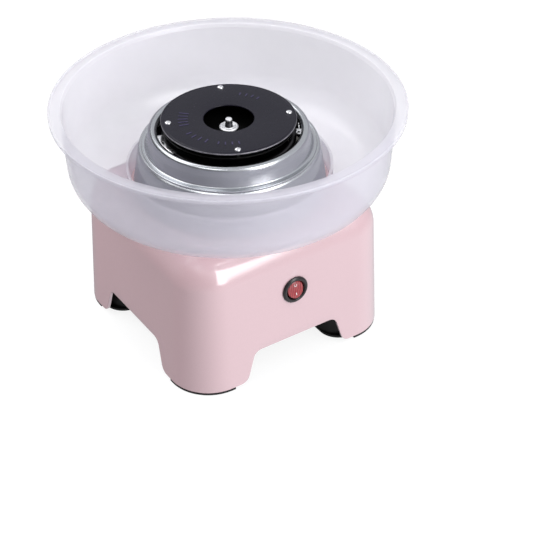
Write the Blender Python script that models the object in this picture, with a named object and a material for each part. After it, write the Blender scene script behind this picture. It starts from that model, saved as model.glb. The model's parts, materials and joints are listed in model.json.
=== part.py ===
"""A table-top cotton candy machine, built from its separate pieces.

The frame: +Z is up, the origin lies on the table under the middle of the base, and the
switch is on the -Y side. All sizes are in metres.
"""

import math

import bmesh
import bpy
from mathutils import Matrix, Vector

GAP = 0.0003                    # clearance between touching pieces

# Base casing: a rounded square that narrows upwards, with a large rounded top edge
BASE_HALF = 0.0981              # half width at table level
BASE_CORNER = 0.0359            # corner radius at table level
BASE_TAPER = 0.045              # inward lean of the walls, per unit of height
WALL_LEAN = math.atan(BASE_TAPER)
SHELL_BOTTOM = 0.0032
SHELL_WALL = 0.0025
FILLET_START = 0.098            # height where the top edge begins to round over
FILLET_RADIUS = 0.026
TURRET_RADIUS = 0.086           # round seat on top of the base that the bowl stands on
TURRET_TOP = 0.126
TOP_HOLE_RADIUS = 0.068

# Arched gap in the middle of each side, between two feet
ARCH_TOP = 0.0305
ARCH_HALF_LOW = 0.0485          # half width where the flanks would meet the table
ARCH_HALF_HIGH = 0.0392         # half width where the flanks would meet the arch's top
ARCH_CORNER = 0.008

# Closed feet, part of the black bottom cover
COVER_PLATE_BOTTOM = 0.0318
COVER_PLATE_TOP = 0.0338
FOOT_INNER = 0.040              # distance of each foot's inner walls from the middle
FOOT_END_RADIUS = 0.018         # round end of an inner wall, beside the arch
FOOT_STEP = 0.0045              # how far behind the outer wall that round end starts
FOOT_STEP_EDGE = 0.001
FOOT_INNER_RADIUS = 0.018       # round corner between the inner walls
SOLE_BOTTOM = 0.0008
SOLE_TOP = 0.0029
FOOT_FLOOR_TOP = 0.0042
FOOT_CUP_TOP = 0.0326
FOOT_WALL = 0.002
PAD_RADIUS = 0.0075
PAD_SPOT = (0.076, 0.084)
POST_SPOT = (0.084, 0.066)
POST_RADIUS = 0.0045
SCREW_RADIUS = 0.0015
SCREW_HEAD_RADIUS = 0.0032

# Bowl
RIM_RADIUS = 0.142
RIM_TOP = 0.2027
RIM_DROP = 0.0034
BOWL_WALL = 0.0022
BOWL_NECK_RADIUS = 0.1335       # outside of the wall just under the rim
BOWL_HIP_RADIUS = 0.1307        # outside of the wall where the floor begins to round
BOWL_HIP_HEIGHT = 0.157
BOWL_ROUND = 0.026
BOWL_FLOOR = TURRET_TOP + GAP   # underside of the floor at the collar
COLLAR_RADIUS = 0.084
COLLAR_TOP = 0.1464

# Spun aluminium guard around the head
DRUM_TOP_RADIUS = 0.0731
DRUM_TOP = 0.1629
DRUM_FOOT_RADIUS = 0.0792
SHEET = 0.0011
GUARD_LIP_RADIUS = 0.0582
GUARD_LIP_TOP = 0.1797
GUARD_WAIST_RADIUS = 0.0672
GUARD_ROLL = 0.0038             # radius of the rolled lip
GUARD_SKIRT = 0.1735            # lower edge of the lip inside the guard
DRUM_FLANGE_INNER = 0.0705
GUARD_SCREW_CIRCLE = 0.0745
SHIELD_RADIUS = 0.0765
SHIELD_SHEET = 0.001

# Spinning head
DISC_RADIUS = 0.0543
DISC_TOP = 0.187
DISC_SHEET = 0.0012
SUGAR_HOLE_RADIUS = 0.0203
RIVET_CIRCLE = 0.0486
RIVET_RADIUS = 0.0016
HEAD_TURN = math.radians(-24.0)  # angle of the first rivet at rest
PAN_FLOOR = 0.1723
PAN_FLANGE = 0.181
NUT_RADIUS = 0.0080             # across its corners
NUT_TOP = 0.1799
BAND_SLOTS = 9
SHAFT_RADIUS = 0.003
SHAFT_TOP = 0.1862
SHAFT_BOTTOM = 0.0362

# Heater
HEATER_CIRCLE = 0.0515
HEATER_TUBE = 0.0026
HEATER_HEIGHT = 0.1715
HEATER_POST_TURNS = (math.radians(205.0), math.radians(325.0), math.radians(85.0))

# Motor
MOTOR_RADIUS = 0.027
MOTOR_TOP = 0.1165
MOTOR_BOTTOM = 0.056
MOTOR_SHEET = 0.0015
MOTOR_SCREW_SPOT = (0.0161, 0.0036)
CAP_BOTTOM = 0.050
BEARING_RADIUS = 0.0072
ARMATURE_RADIUS = 0.0165
COMMUTATOR_RADIUS = 0.008
FAN_HUB_RADIUS = 0.010
FAN_RADIUS = 0.0345
FAN_MIDDLE = 0.0428             # height of the middle of the fan
FAN_BLADES = 7
FAN_PITCH = math.radians(38.0)
DECK_TOP = 0.1184
DECK_RADIUS = 0.079
GROMMET_SPOT = (0.0515, 0.0515)

# Round rocker switch in the front wall
SWITCH_HEIGHT = 0.0756
SWITCH_HOLE_RADIUS = 0.0101
BEZEL_RADIUS = 0.0117
BEZEL_DEPTH = 0.002
ROCKER_TILT = math.radians(-9.0)  # off: the upper edge is pressed in
ROCKER_RADIUS = 0.0074
ROCKER_DISH = 0.0012            # depth of the hollow across the rocker's face
ROCKER_AXIS_DEPTH = 0.0012      # how far its axis lies behind the wall's surface
SWITCH_WELL_RADIUS = 0.0080
SWITCH_WELL_DEPTH = 0.0085
SWITCH_BODY_DEPTH = 0.020
TERMINAL_LENGTH = 0.0085

# Cord inlet in the rear wall
GLAND_HEIGHT = 0.050
GLAND_RADIUS = 0.0095
GLAND_HOLE_RADIUS = 0.0072
GLAND_BORE = 0.0036

SMOOTH_ANGLE = math.radians(35.0)
ROUND = 48                      # sides of the large turned pieces
SMALL = 24                      # sides of the small ones
PEG_SIDES = 10
CORNER_STEPS = 5                # facets in each round corner of the casing
FILLET_STEPS = 4


def clear_scene():
    for item in list(bpy.data.objects):
        bpy.data.objects.remove(item, do_unlink=True)


def make_material(name, colour, roughness, metallic=0.0, alpha=1.0):
    material = bpy.data.materials.new(name)
    material.use_nodes = True
    shader = material.node_tree.nodes["Principled BSDF"]
    shader.inputs["Base Color"].default_value = (*colour, 1.0)
    shader.inputs["Roughness"].default_value = roughness
    shader.inputs["Metallic"].default_value = metallic
    shader.inputs["Alpha"].default_value = alpha
    return material


def finish(name, mesh_data, material, parent=None):
    """Turns a bmesh into a named object with its material, smooth where it is round."""
    bmesh.ops.remove_doubles(mesh_data, verts=mesh_data.verts, dist=1e-7)
    bmesh.ops.recalc_face_normals(mesh_data, faces=mesh_data.faces)
    mesh = bpy.data.meshes.new(name)
    mesh_data.to_mesh(mesh)
    mesh_data.free()
    item = bpy.data.objects.new(name, mesh)
    bpy.context.scene.collection.objects.link(item)
    smooth(item)
    if material:
        mesh.materials.append(material)
    if parent:
        item.parent = parent
    return item


def smooth(item):
    item.data.shade_smooth()
    item.data.set_sharp_from_angle(angle=SMOOTH_ANGLE)


def pivot(name, location):
    empty = bpy.data.objects.new(name, None)
    empty.location = location
    bpy.context.scene.collection.objects.link(empty)
    return empty


def turned_mesh(profile, segments):
    """Spins a closed outline of (radius, height) points about Z."""
    mesh_data = bmesh.new()
    rings = []
    for radius, height in profile:
        if radius < 1e-6:
            rings.append([mesh_data.verts.new((0.0, 0.0, height))] * segments)
            continue
        ring = []
        for step in range(segments):
            angle = 2.0 * math.pi * step / segments
            ring.append(mesh_data.verts.new((radius * math.cos(angle), radius * math.sin(angle), height)))
        rings.append(ring)
    for index, ring in enumerate(rings):
        following = rings[(index + 1) % len(rings)]
        for step in range(segments):
            after = (step + 1) % segments
            corners = []
            for corner in (ring[step], ring[after], following[after], following[step]):
                if corner not in corners:
                    corners.append(corner)
            if len(corners) > 2:
                mesh_data.faces.new(corners)
    return mesh_data


def turned(name, profile, material, segments=48, parent=None):
    return finish(name, turned_mesh(profile, segments), material, parent)


def disc_profile(radius, low, high, hole=0.0):
    return [(hole, low), (radius, low), (radius, high), (hole, high)]


def cylinder(name, radius, low, high, material, segments=24, spot=(0.0, 0.0), hole=0.0):
    mesh_data = turned_mesh(disc_profile(radius, low, high, hole), segments)
    bmesh.ops.translate(mesh_data, verts=mesh_data.verts, vec=(spot[0], spot[1], 0.0))
    return finish(name, mesh_data, material)


def arc(centre, radius, start, end, steps):
    """Points on a circular arc between two angles in degrees."""
    points = []
    for step in range(steps + 1):
        angle = math.radians(start + (end - start) * step / steps)
        points.append((centre[0] + radius * math.cos(angle), centre[1] + radius * math.sin(angle)))
    return points


def rounded_square(half, corner, steps=CORNER_STEPS):
    """The outline of a square with round corners, counter-clockwise."""
    points = []
    middle = half - corner
    for turn, (across, along) in enumerate(((1, 1), (-1, 1), (-1, -1), (1, -1))):
        points += arc((across * middle, along * middle), corner, turn * 90.0, turn * 90.0 + 90.0, steps)
    return points


def loft(rings):
    """Skins a stack of outlines with equal point counts, and closes both ends."""
    mesh_data = bmesh.new()
    layers = []
    for outline, height in rings:
        layers.append([mesh_data.verts.new((x, y, height)) for x, y in outline])
    for lower, upper in zip(layers, layers[1:]):
        for step in range(len(lower)):
            after = (step + 1) % len(lower)
            mesh_data.faces.new((lower[step], lower[after], upper[after], upper[step]))
    mesh_data.faces.new(layers[0])
    mesh_data.faces.new(layers[-1])
    return mesh_data


def prism(outline, low, high):
    return loft([(outline, low), (outline, high)])


def block_mesh(size, centre):
    mesh_data = bmesh.new()
    bmesh.ops.create_cube(mesh_data, size=1.0)
    bmesh.ops.scale(mesh_data, verts=mesh_data.verts, vec=size)
    bmesh.ops.translate(mesh_data, verts=mesh_data.verts, vec=centre)
    return mesh_data


def block(name, size, centre, material, parent=None):
    return finish(name, block_mesh(size, centre), material, parent)


def combine(item, mesh_data, operation):
    """Cuts or joins a shape into an item with an exact Boolean."""
    tool = finish(item.name + "_tool", mesh_data, None)
    modifier = item.modifiers.new(operation, "BOOLEAN")
    modifier.operation = operation
    modifier.solver = "EXACT"
    modifier.object = tool
    bpy.context.view_layer.update()
    result = item.evaluated_get(bpy.context.evaluated_depsgraph_get())
    mesh = bpy.data.meshes.new_from_object(result)
    item.modifiers.clear()
    item.data = mesh
    bpy.data.objects.remove(tool, do_unlink=True)
    smooth(item)


def cut(item, mesh_data):
    combine(item, mesh_data, "DIFFERENCE")


def join(item, mesh_data):
    combine(item, mesh_data, "UNION")


def moved(mesh_data, matrix):
    bmesh.ops.transform(mesh_data, matrix=matrix, verts=mesh_data.verts)
    return mesh_data


def peg(radius, low, high, spot, segments=PEG_SIDES):
    mesh_data = turned_mesh(disc_profile(radius, low, high), segments)
    return moved(mesh_data, Matrix.Translation((spot[0], spot[1], 0.0)))


def quarter_turns(spot):
    """The four places that a spot takes as it is turned about Z by right angles."""
    x, y = spot
    return ((x, y), (-y, x), (-x, -y), (y, -x))


def smooth_route(points, steps):
    """A Catmull-Rom curve through hand-placed points."""
    ends = [points[0] * 2.0 - points[1], *points, points[-1] * 2.0 - points[-2]]
    route = []
    for index in range(1, len(ends) - 2):
        before, start, end, after = ends[index - 1:index + 3]
        for step in range(steps):
            t = step / steps
            bend = start * 2.0 + (end - before) * t
            bend += (before * 2.0 - start * 5.0 + end * 4.0 - after) * t * t
            bend += (start * 3.0 - before - end * 3.0 + after) * t * t * t
            route.append(bend * 0.5)
    route.append(points[-1])
    return route


def wire(name, points, radius, material, steps=3):
    """A round lead along a smooth route."""
    route = smooth_route([Vector(point) for point in points], steps)
    curve = bpy.data.curves.new(name, "CURVE")
    curve.dimensions = "3D"
    curve.bevel_depth = radius
    curve.bevel_resolution = 2
    curve.use_fill_caps = True
    spline = curve.splines.new("POLY")
    spline.points.add(len(route) - 1)
    for point, place in zip(spline.points, route):
        point.co = (*place, 1.0)
    item = bpy.data.objects.new(name, curve)
    bpy.context.scene.collection.objects.link(item)
    curve.materials.append(material)
    return item


def wall_half(height):
    """Half width of the base casing's straight walls at a height."""
    return BASE_HALF - BASE_TAPER * height


def casing_rings(inset, bottom, steps):
    """Outlines of the base casing, moved inwards by a wall's thickness."""
    rings = []
    for height in (bottom, FILLET_START):
        half = wall_half(height) - inset
        rings.append((rounded_square(half, BASE_CORNER - BASE_HALF + wall_half(height) - inset), height))
    top_half = wall_half(FILLET_START) - inset
    top_corner = BASE_CORNER - BASE_HALF + top_half
    radius = FILLET_RADIUS - inset
    for step in range(1, steps + 1):
        angle = math.pi / 2.0 * step / steps
        shrink = radius * (1.0 - math.cos(angle))
        height = FILLET_START + radius * math.sin(angle)
        rings.append((rounded_square(top_half - shrink, top_corner - shrink), height))
    return rings


def arch_outline():
    """The gap between two feet, as (sideways, height) points; it runs below the table."""
    slope = (ARCH_HALF_LOW - ARCH_HALF_HIGH) / ARCH_TOP
    lean = math.degrees(math.atan(slope))
    toe_height = SHELL_BOTTOM + ARCH_CORNER
    toe = (ARCH_HALF_LOW - slope * toe_height + ARCH_CORNER / math.cos(math.radians(lean)), toe_height)
    knee_height = ARCH_TOP - ARCH_CORNER
    knee = (ARCH_HALF_LOW - slope * knee_height - ARCH_CORNER / math.cos(math.radians(lean)), knee_height)
    right = [(toe[0], -0.005)]
    right += arc(toe, ARCH_CORNER, 270.0, 180.0 + lean, 3)
    right += arc(knee, ARCH_CORNER, lean, 90.0, 3)
    left = [(-x, z) for x, z in reversed(right)]
    return right + left


def arch_cutter(turn):
    outline = arch_outline()
    mesh_data = prism(outline, -0.13, 0.13)
    upright = Matrix.Rotation(math.radians(90.0), 4, "X")
    return moved(mesh_data, Matrix.Rotation(turn, 4, "Z") @ upright)


def wall_cylinder(radius, depth, side, height, segments=SMALL):
    """A round cutter that runs along Y through the front (-1) or the rear (+1) wall."""
    mesh_data = turned_mesh(disc_profile(radius, -depth, depth), segments)
    place = Matrix.Translation((0.0, side * wall_half(height), height))
    return moved(mesh_data, place @ Matrix.Rotation(math.radians(90.0), 4, "X"))


def make_base_shell(material):
    shell = finish("base_shell", loft(casing_rings(0.0, SHELL_BOTTOM, FILLET_STEPS)), material)
    turret = turned_mesh(disc_profile(TURRET_RADIUS, 0.105, TURRET_TOP), ROUND)
    join(shell, turret)
    cut(shell, loft(casing_rings(SHELL_WALL, -0.01, FILLET_STEPS)))
    room = disc_profile(TURRET_RADIUS - SHELL_WALL, 0.095, TURRET_TOP - SHELL_WALL)
    cut(shell, turned_mesh(room, ROUND))
    for x, y in quarter_turns(POST_SPOT):
        join(shell, peg(POST_RADIUS, 0.006, 0.112, (x, y)))
        cut(shell, peg(SCREW_RADIUS + GAP, 0.0, 0.020, (x, y)))
    cut(shell, turned_mesh(disc_profile(TOP_HOLE_RADIUS, 0.11, 0.14), ROUND))
    cut(shell, arch_cutter(0.0))
    cut(shell, arch_cutter(math.pi / 2.0))
    cut(shell, wall_cylinder(SWITCH_HOLE_RADIUS, 0.02, -1.0, SWITCH_HEIGHT))
    cut(shell, wall_cylinder(GLAND_HOLE_RADIUS, 0.02, 1.0, GLAND_HEIGHT, 16))
    for x, y in guard_screw_spots():
        cut(shell, peg(SCREW_RADIUS + GAP, 0.12, 0.13, (x, y)))
    return shell


def foot_outline(half, inset):
    """One foot seen from above: the casing's round corner, closed by two inner walls."""
    straight = BASE_HALF - BASE_CORNER
    inner = FOOT_INNER + inset
    end = FOOT_END_RADIUS - inset
    turn = FOOT_INNER_RADIUS - inset
    step = inner + end + FOOT_STEP_EDGE + inset
    behind = half - FOOT_STEP
    outline = arc((straight, straight), half - straight, 0.0, 90.0, CORNER_STEPS)
    outline += [(step, half), (step, behind)]
    outline += arc((inner + end, behind - end), end, 90.0, 180.0, CORNER_STEPS)
    outline += arc((inner + turn, inner + turn), turn, 180.0, 270.0, CORNER_STEPS)
    outline += arc((behind - end, inner + end), end, 270.0, 360.0, CORNER_STEPS)
    outline += [(behind, step), (half, step)]
    return outline


def turned_outline(outline, quarter):
    points = []
    for x, y in outline:
        for _ in range(quarter):
            x, y = -y, x
        points.append((x, y))
    return points


def make_bottom_cover(material):
    plate_half = wall_half(COVER_PLATE_BOTTOM) - SHELL_WALL - 0.0006
    corner = BASE_CORNER - BASE_HALF
    plate = prism(rounded_square(plate_half, corner + plate_half), COVER_PLATE_BOTTOM, COVER_PLATE_TOP)
    cover = finish("bottom_cover", plate, material)
    sole_half = wall_half(SOLE_TOP) - GAP
    for quarter in range(4):
        cup = foot_outline(plate_half, GAP)
        join(cover, prism(turned_outline(cup, quarter), SOLE_TOP - 0.0005, FOOT_CUP_TOP))
        sole = foot_outline(sole_half, 0.0)
        join(cover, prism(turned_outline(sole, quarter), SOLE_BOTTOM, SOLE_TOP))
        room = foot_outline(plate_half - FOOT_WALL, FOOT_WALL)
        cut(cover, prism(turned_outline(room, quarter), FOOT_FLOOR_TOP, 0.05))
    for x, y in quarter_turns(POST_SPOT):
        cut(cover, peg(SCREW_HEAD_RADIUS + 0.0005, 0.0, 0.0026, (x, y)))
        cut(cover, peg(SCREW_RADIUS + GAP, 0.0, 0.01, (x, y)))
    for x, y in quarter_turns(PAD_SPOT):
        cut(cover, peg(PAD_RADIUS + GAP, 0.0, 0.0018, (x, y), 20))
    for row in range(-3, 4):
        slot = block_mesh((0.040, 0.003, 0.02), (0.0, row * 0.008, COVER_PLATE_TOP))
        cut(cover, slot)
    return cover


def make_feet(rubber, steel):
    for number, (x, y) in enumerate(quarter_turns(PAD_SPOT), start=1):
        profile = [(0.0, 0.0), (PAD_RADIUS - 0.0007, 0.0), (PAD_RADIUS, 0.0007)]
        profile += [(PAD_RADIUS, 0.0015), (0.0, 0.0015)]
        pad = turned_mesh(profile, 18)
        finish(f"rubber_foot_{number}", moved(pad, Matrix.Translation((x, y, 0.0))), rubber)
    for number, (x, y) in enumerate(quarter_turns(POST_SPOT), start=1):
        screw(f"cover_screw_{number}", (x, y), 0.0010, 0.0023, 0.018, steel)


def screw(name, spot, head_low, head_high, shank_end, material):
    """A pan-head screw along Z; its shank runs from the head to shank_end."""
    if shank_end > head_high:
        profile = [(0.0, head_low), (SCREW_HEAD_RADIUS, head_low), (SCREW_HEAD_RADIUS, head_high)]
        profile += [(SCREW_RADIUS, head_high), (SCREW_RADIUS, shank_end), (0.0, shank_end)]
    else:
        profile = [(0.0, shank_end), (SCREW_RADIUS, shank_end), (SCREW_RADIUS, head_low)]
        profile += [(SCREW_HEAD_RADIUS, head_low), (SCREW_HEAD_RADIUS, head_high), (0.0, head_high)]
    mesh_data = moved(turned_mesh(profile, PEG_SIDES), Matrix.Translation((spot[0], spot[1], 0.0)))
    return finish(name, mesh_data, material)


def make_bowl(material):
    """The see-through bowl: collar, floor, round bottom edge, wall and folded rim."""
    hub = (BOWL_HIP_RADIUS - BOWL_ROUND, BOWL_HIP_HEIGHT)
    inner = BOWL_ROUND - BOWL_WALL
    outside = [(COLLAR_RADIUS - BOWL_WALL, COLLAR_TOP), (COLLAR_RADIUS - BOWL_WALL, BOWL_FLOOR)]
    outside += arc(hub, BOWL_ROUND, -84.0, 0.0, 4)
    outside += [(BOWL_NECK_RADIUS, RIM_TOP - RIM_DROP)]
    outside += [(RIM_RADIUS - 0.0006, RIM_TOP - RIM_DROP), (RIM_RADIUS, RIM_TOP - 0.0028)]
    outside += [(RIM_RADIUS, RIM_TOP - 0.0007), (RIM_RADIUS - 0.0007, RIM_TOP)]
    inside = [(BOWL_NECK_RADIUS + 0.0008, RIM_TOP), (BOWL_NECK_RADIUS - BOWL_WALL, RIM_TOP - 0.004)]
    inside += arc(hub, inner, 0.0, -84.0, 4)
    inside += [(COLLAR_RADIUS, BOWL_FLOOR + BOWL_WALL), (COLLAR_RADIUS, COLLAR_TOP)]
    return turned("bowl", outside + inside, material, ROUND)


def guard_screw_spots():
    turns = [math.radians(30.0 + 120.0 * number) for number in range(3)]
    return [(GUARD_SCREW_CIRCLE * math.cos(turn), GUARD_SCREW_CIRCLE * math.sin(turn)) for turn in turns]


def make_guard(aluminium, steel):
    foot_low = TURRET_TOP + GAP
    outer = [(DRUM_FLANGE_INNER, foot_low), (DRUM_FOOT_RADIUS, foot_low)]
    outer += [(DRUM_FOOT_RADIUS, foot_low + 0.002)]
    outer += [(DRUM_TOP_RADIUS + 0.0004, DRUM_TOP - 0.0018), (DRUM_TOP_RADIUS - 0.0012, DRUM_TOP)]
    outer += [(GUARD_WAIST_RADIUS - 0.002, DRUM_TOP), (GUARD_WAIST_RADIUS - 0.002, DRUM_TOP - SHEET)]
    outer += [(DRUM_TOP_RADIUS - 0.0016, DRUM_TOP - SHEET), (DRUM_TOP_RADIUS - 0.0007, DRUM_TOP - 0.0023)]
    outer += [(DRUM_FOOT_RADIUS - SHEET, foot_low + 0.002), (DRUM_FOOT_RADIUS - SHEET, foot_low + SHEET)]
    outer += [(DRUM_FLANGE_INNER, foot_low + SHEET)]
    drum = turned("guard_drum", outer, aluminium, ROUND)
    low = DRUM_TOP + GAP
    ring = [(GUARD_WAIST_RADIUS - SHEET, low), (DRUM_TOP_RADIUS - 0.0008, low)]
    ring += [(DRUM_TOP_RADIUS - 0.0003, low + 0.0008), (DRUM_TOP_RADIUS - 0.0012, low + 0.0014)]
    ring += [(GUARD_WAIST_RADIUS + 0.0012, low + SHEET), (GUARD_WAIST_RADIUS - 0.0002, low + 0.0026)]
    ring += [(0.0658, 0.1708)]
    roll = (GUARD_LIP_RADIUS + 0.0030, GUARD_LIP_TOP - GUARD_ROLL)
    ring += arc(roll, GUARD_ROLL, 5.0, 172.0, 4)
    ring += [(GUARD_LIP_RADIUS, GUARD_SKIRT), (GUARD_LIP_RADIUS + SHEET, GUARD_SKIRT)]
    ring += arc(roll, GUARD_ROLL - SHEET, 165.0, 10.0, 3)
    ring += [(0.0647, 0.1706)]
    turned("guard_ring", ring, aluminium, ROUND)
    shield_low = foot_low + SHEET + GAP
    plate = disc_profile(SHIELD_RADIUS, shield_low, shield_low + SHIELD_SHEET, SHAFT_RADIUS * 2.0)
    shield = turned("heat_shield_plate", plate, steel, 32)
    for number, (x, y) in enumerate(guard_screw_spots(), start=1):
        cut(drum, peg(SCREW_RADIUS + GAP, 0.12, 0.135, (x, y)))
        cut(shield, peg(SCREW_RADIUS + GAP, 0.12, 0.135, (x, y)))
        top = shield_low + SHIELD_SHEET + GAP
        screw(f"guard_screw_{number}", (x, y), top, top + 0.0016, 0.1205, steel)
    return shield_low + SHIELD_SHEET


def make_head(black, silver, steel, head):
    """The spinning head: sugar pan, screen, top disc, rivets, hub and lock nut."""
    disc_low = DISC_TOP - DISC_SHEET
    plate = disc_profile(DISC_RADIUS, disc_low, DISC_TOP, SUGAR_HOLE_RADIUS)
    disc = turned("extractor_disc", plate, black, ROUND)
    flange = PAN_FLANGE
    pan = [(SHAFT_RADIUS + GAP, PAN_FLOOR), (0.040, PAN_FLOOR), (0.0452, 0.1765), (0.0462, flange)]
    pan += [(0.0528, flange), (0.0528, flange + DISC_SHEET), (0.0452, flange + DISC_SHEET)]
    pan += [(0.0441, 0.1769), (0.0395, PAN_FLOOR + DISC_SHEET), (SHAFT_RADIUS + GAP, PAN_FLOOR + DISC_SHEET)]
    pan = turned("sugar_pan", pan, black, 36)
    band_low = flange + DISC_SHEET + GAP
    band = turned("mesh_band", disc_profile(0.0467, band_low, disc_low - GAP, 0.0455), steel, 36)
    height = disc_low - GAP - band_low
    for number in range(BAND_SLOTS):
        turn = Matrix.Rotation(2.0 * math.pi * number / BAND_SLOTS, 4, "Z")
        slot = block_mesh((0.004, 0.014, height * 0.5), (0.046, 0.0, band_low + height * 0.5))
        cut(band, moved(slot, turn))
    for number in range(4):
        angle = HEAD_TURN + math.radians(90.0 * number)
        spot = (RIVET_CIRCLE * math.cos(angle), RIVET_CIRCLE * math.sin(angle))
        cut(disc, peg(RIVET_RADIUS + GAP, 0.18, 0.19, spot))
        cut(pan, peg(RIVET_RADIUS + GAP, 0.18, 0.19, spot))
        profile = [(0.0, flange - 0.0012), (0.0021, flange - 0.0012), (0.0026, flange - GAP)]
        profile += [(RIVET_RADIUS, flange - GAP), (RIVET_RADIUS, DISC_TOP + GAP), (0.0027, DISC_TOP + GAP)]
        profile += [(0.0021, DISC_TOP + 0.0011), (0.0, DISC_TOP + 0.0014)]
        rivet = moved(turned_mesh(profile, PEG_SIDES), Matrix.Translation((spot[0], spot[1], 0.0)))
        finish(f"disc_rivet_{number + 1}", rivet, silver, head)
    bore = SHAFT_RADIUS + GAP
    hub = [(bore, 0.158), (0.0065, 0.158), (0.0065, 0.1665), (0.012, 0.1690), (0.012, PAN_FLOOR - GAP)]
    turned("drive_hub", hub + [(bore, PAN_FLOOR - GAP)], silver, 20, head)
    nut_low = PAN_FLOOR + DISC_SHEET + GAP
    nut = [(0.0, nut_low), (NUT_RADIUS, nut_low), (NUT_RADIUS, NUT_TOP - 0.0012)]
    nut += [(NUT_RADIUS - 0.0014, NUT_TOP), (0.0, NUT_TOP)]
    nut = turned("lock_nut", nut, silver, 6, head)
    cut(nut, peg(bore, 0.16, 0.19, (0.0, 0.0), 16))
    shaft = [(0.0, SHAFT_BOTTOM), (SHAFT_RADIUS, SHAFT_BOTTOM), (SHAFT_RADIUS, SHAFT_TOP - 0.0008)]
    shaft += [(SHAFT_RADIUS - 0.0008, SHAFT_TOP), (0.0, SHAFT_TOP)]
    turned("motor_shaft", shaft, steel, 14, head)
    for item in (disc, pan, band):
        item.parent = head


def make_heater(steel, ceramic, shield_top):
    turned("heater_ring", arc((HEATER_CIRCLE, HEATER_HEIGHT), HEATER_TUBE, 0.0, 300.0, 5), steel, 32)
    for number, turn in enumerate(HEATER_POST_TURNS, start=1):
        spot = (HEATER_CIRCLE * math.cos(turn), HEATER_CIRCLE * math.sin(turn))
        top = HEATER_HEIGHT - HEATER_TUBE - GAP
        profile = [(0.0, shield_top + GAP), (0.0055, shield_top + GAP), (0.0055, 0.134), (0.0038, 0.1365)]
        profile += [(0.0038, top - 0.003), (0.0050, top - 0.0015), (0.0050, top), (0.0, top)]
        post = moved(turned_mesh(profile, 12), Matrix.Translation((spot[0], spot[1], 0.0)))
        finish(f"heater_post_{number}", post, ceramic)


def make_motor(materials, head):
    steel, zinc, black, copper, rubber, magnet = materials
    deck_low = DECK_TOP - 0.0016
    deck = turned("motor_deck", disc_profile(DECK_RADIUS, deck_low, DECK_TOP, 0.012), zinc, 32)
    for number, (x, y) in enumerate(quarter_turns(GROMMET_SPOT), start=1):
        low = DECK_TOP + GAP
        high = TURRET_TOP - SHELL_WALL - GAP
        cylinder(f"deck_grommet_{number}", 0.0055, low, high, rubber, 16, (x, y))
    wall = MOTOR_SHEET
    seat = BEARING_RADIUS + GAP
    can = [(seat, MOTOR_TOP), (seat, MOTOR_TOP - wall), (MOTOR_RADIUS - wall, MOTOR_TOP - wall)]
    can += [(MOTOR_RADIUS - wall, MOTOR_BOTTOM), (MOTOR_RADIUS, MOTOR_BOTTOM)]
    can += [(MOTOR_RADIUS, MOTOR_TOP - 0.002), (MOTOR_RADIUS - 0.002, MOTOR_TOP)]
    can = turned("motor_can", can, zinc, 28)
    for number, side in enumerate((1.0, -1.0), start=1):
        spot = (side * MOTOR_SCREW_SPOT[0], side * MOTOR_SCREW_SPOT[1])
        cut(deck, peg(SCREW_RADIUS + GAP, 0.11, 0.125, spot))
        cut(can, peg(SCREW_RADIUS + GAP, 0.11, 0.125, spot))
        screw(f"motor_screw_{number}", spot, DECK_TOP + GAP, DECK_TOP + 0.0019, 0.1135, steel)
    cap_top = MOTOR_BOTTOM - GAP
    cap = [(seat, CAP_BOTTOM), (MOTOR_RADIUS - 0.002, CAP_BOTTOM), (MOTOR_RADIUS, CAP_BOTTOM + 0.002)]
    cap += [(MOTOR_RADIUS, cap_top), (MOTOR_RADIUS - 0.002, cap_top)]
    cap += [(MOTOR_RADIUS - 0.002, CAP_BOTTOM + 0.0025), (seat, CAP_BOTTOM + 0.0025)]
    turned("motor_end_cap", cap, black, 28)
    bore = SHAFT_RADIUS + GAP
    cylinder("upper_bearing", BEARING_RADIUS, MOTOR_TOP - 0.006, MOTOR_TOP - GAP, steel, 18, hole=bore)
    cylinder("lower_bearing", BEARING_RADIUS, CAP_BOTTOM + GAP, CAP_BOTTOM + 0.006, steel, 18, hole=bore)
    armature = cylinder("armature", ARMATURE_RADIUS, 0.070, 0.102, steel, 18, hole=bore)
    commutator = cylinder("commutator", COMMUTATOR_RADIUS, 0.0585, 0.0685, copper, 16, hole=bore)
    for number, start in enumerate((-65.0, 115.0), start=1):
        outline = arc((0.0, 0.0), MOTOR_RADIUS - wall - 2.0 * GAP, start, start + 130.0, 7)
        outline += arc((0.0, 0.0), ARMATURE_RADIUS + 0.0017, start + 130.0, start, 7)
        finish(f"motor_magnet_{number}", prism(outline, 0.066, 0.106), magnet)
    low = FAN_MIDDLE - 0.005
    fan = cylinder("cooling_fan", FAN_HUB_RADIUS, low, low + 0.010, black, 18, hole=bore)
    root = FAN_HUB_RADIUS - 0.0015
    place = Matrix.Translation(((root + FAN_RADIUS) / 2.0, 0.0, FAN_MIDDLE))
    twist = Matrix.Rotation(FAN_PITCH, 4, "X")
    for number in range(FAN_BLADES):
        blade = block_mesh((FAN_RADIUS - root, 0.0016, 0.0085), (0.0, 0.0, 0.0))
        turn = Matrix.Rotation(2.0 * math.pi * number / FAN_BLADES, 4, "Z")
        join(fan, moved(blade, turn @ place @ twist))
    for item in (armature, commutator, fan):
        item.parent = head


def across_wall(profile, segments):
    """A turned shape whose axis points out of the front wall, at the switch's centre."""
    return moved(turned_mesh(profile, segments), switch_frame())


def switch_frame():
    place = Matrix.Translation((0.0, -wall_half(SWITCH_HEIGHT), SWITCH_HEIGHT))
    return place @ Matrix.Rotation(math.radians(90.0) - WALL_LEAN, 4, "X")


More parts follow.
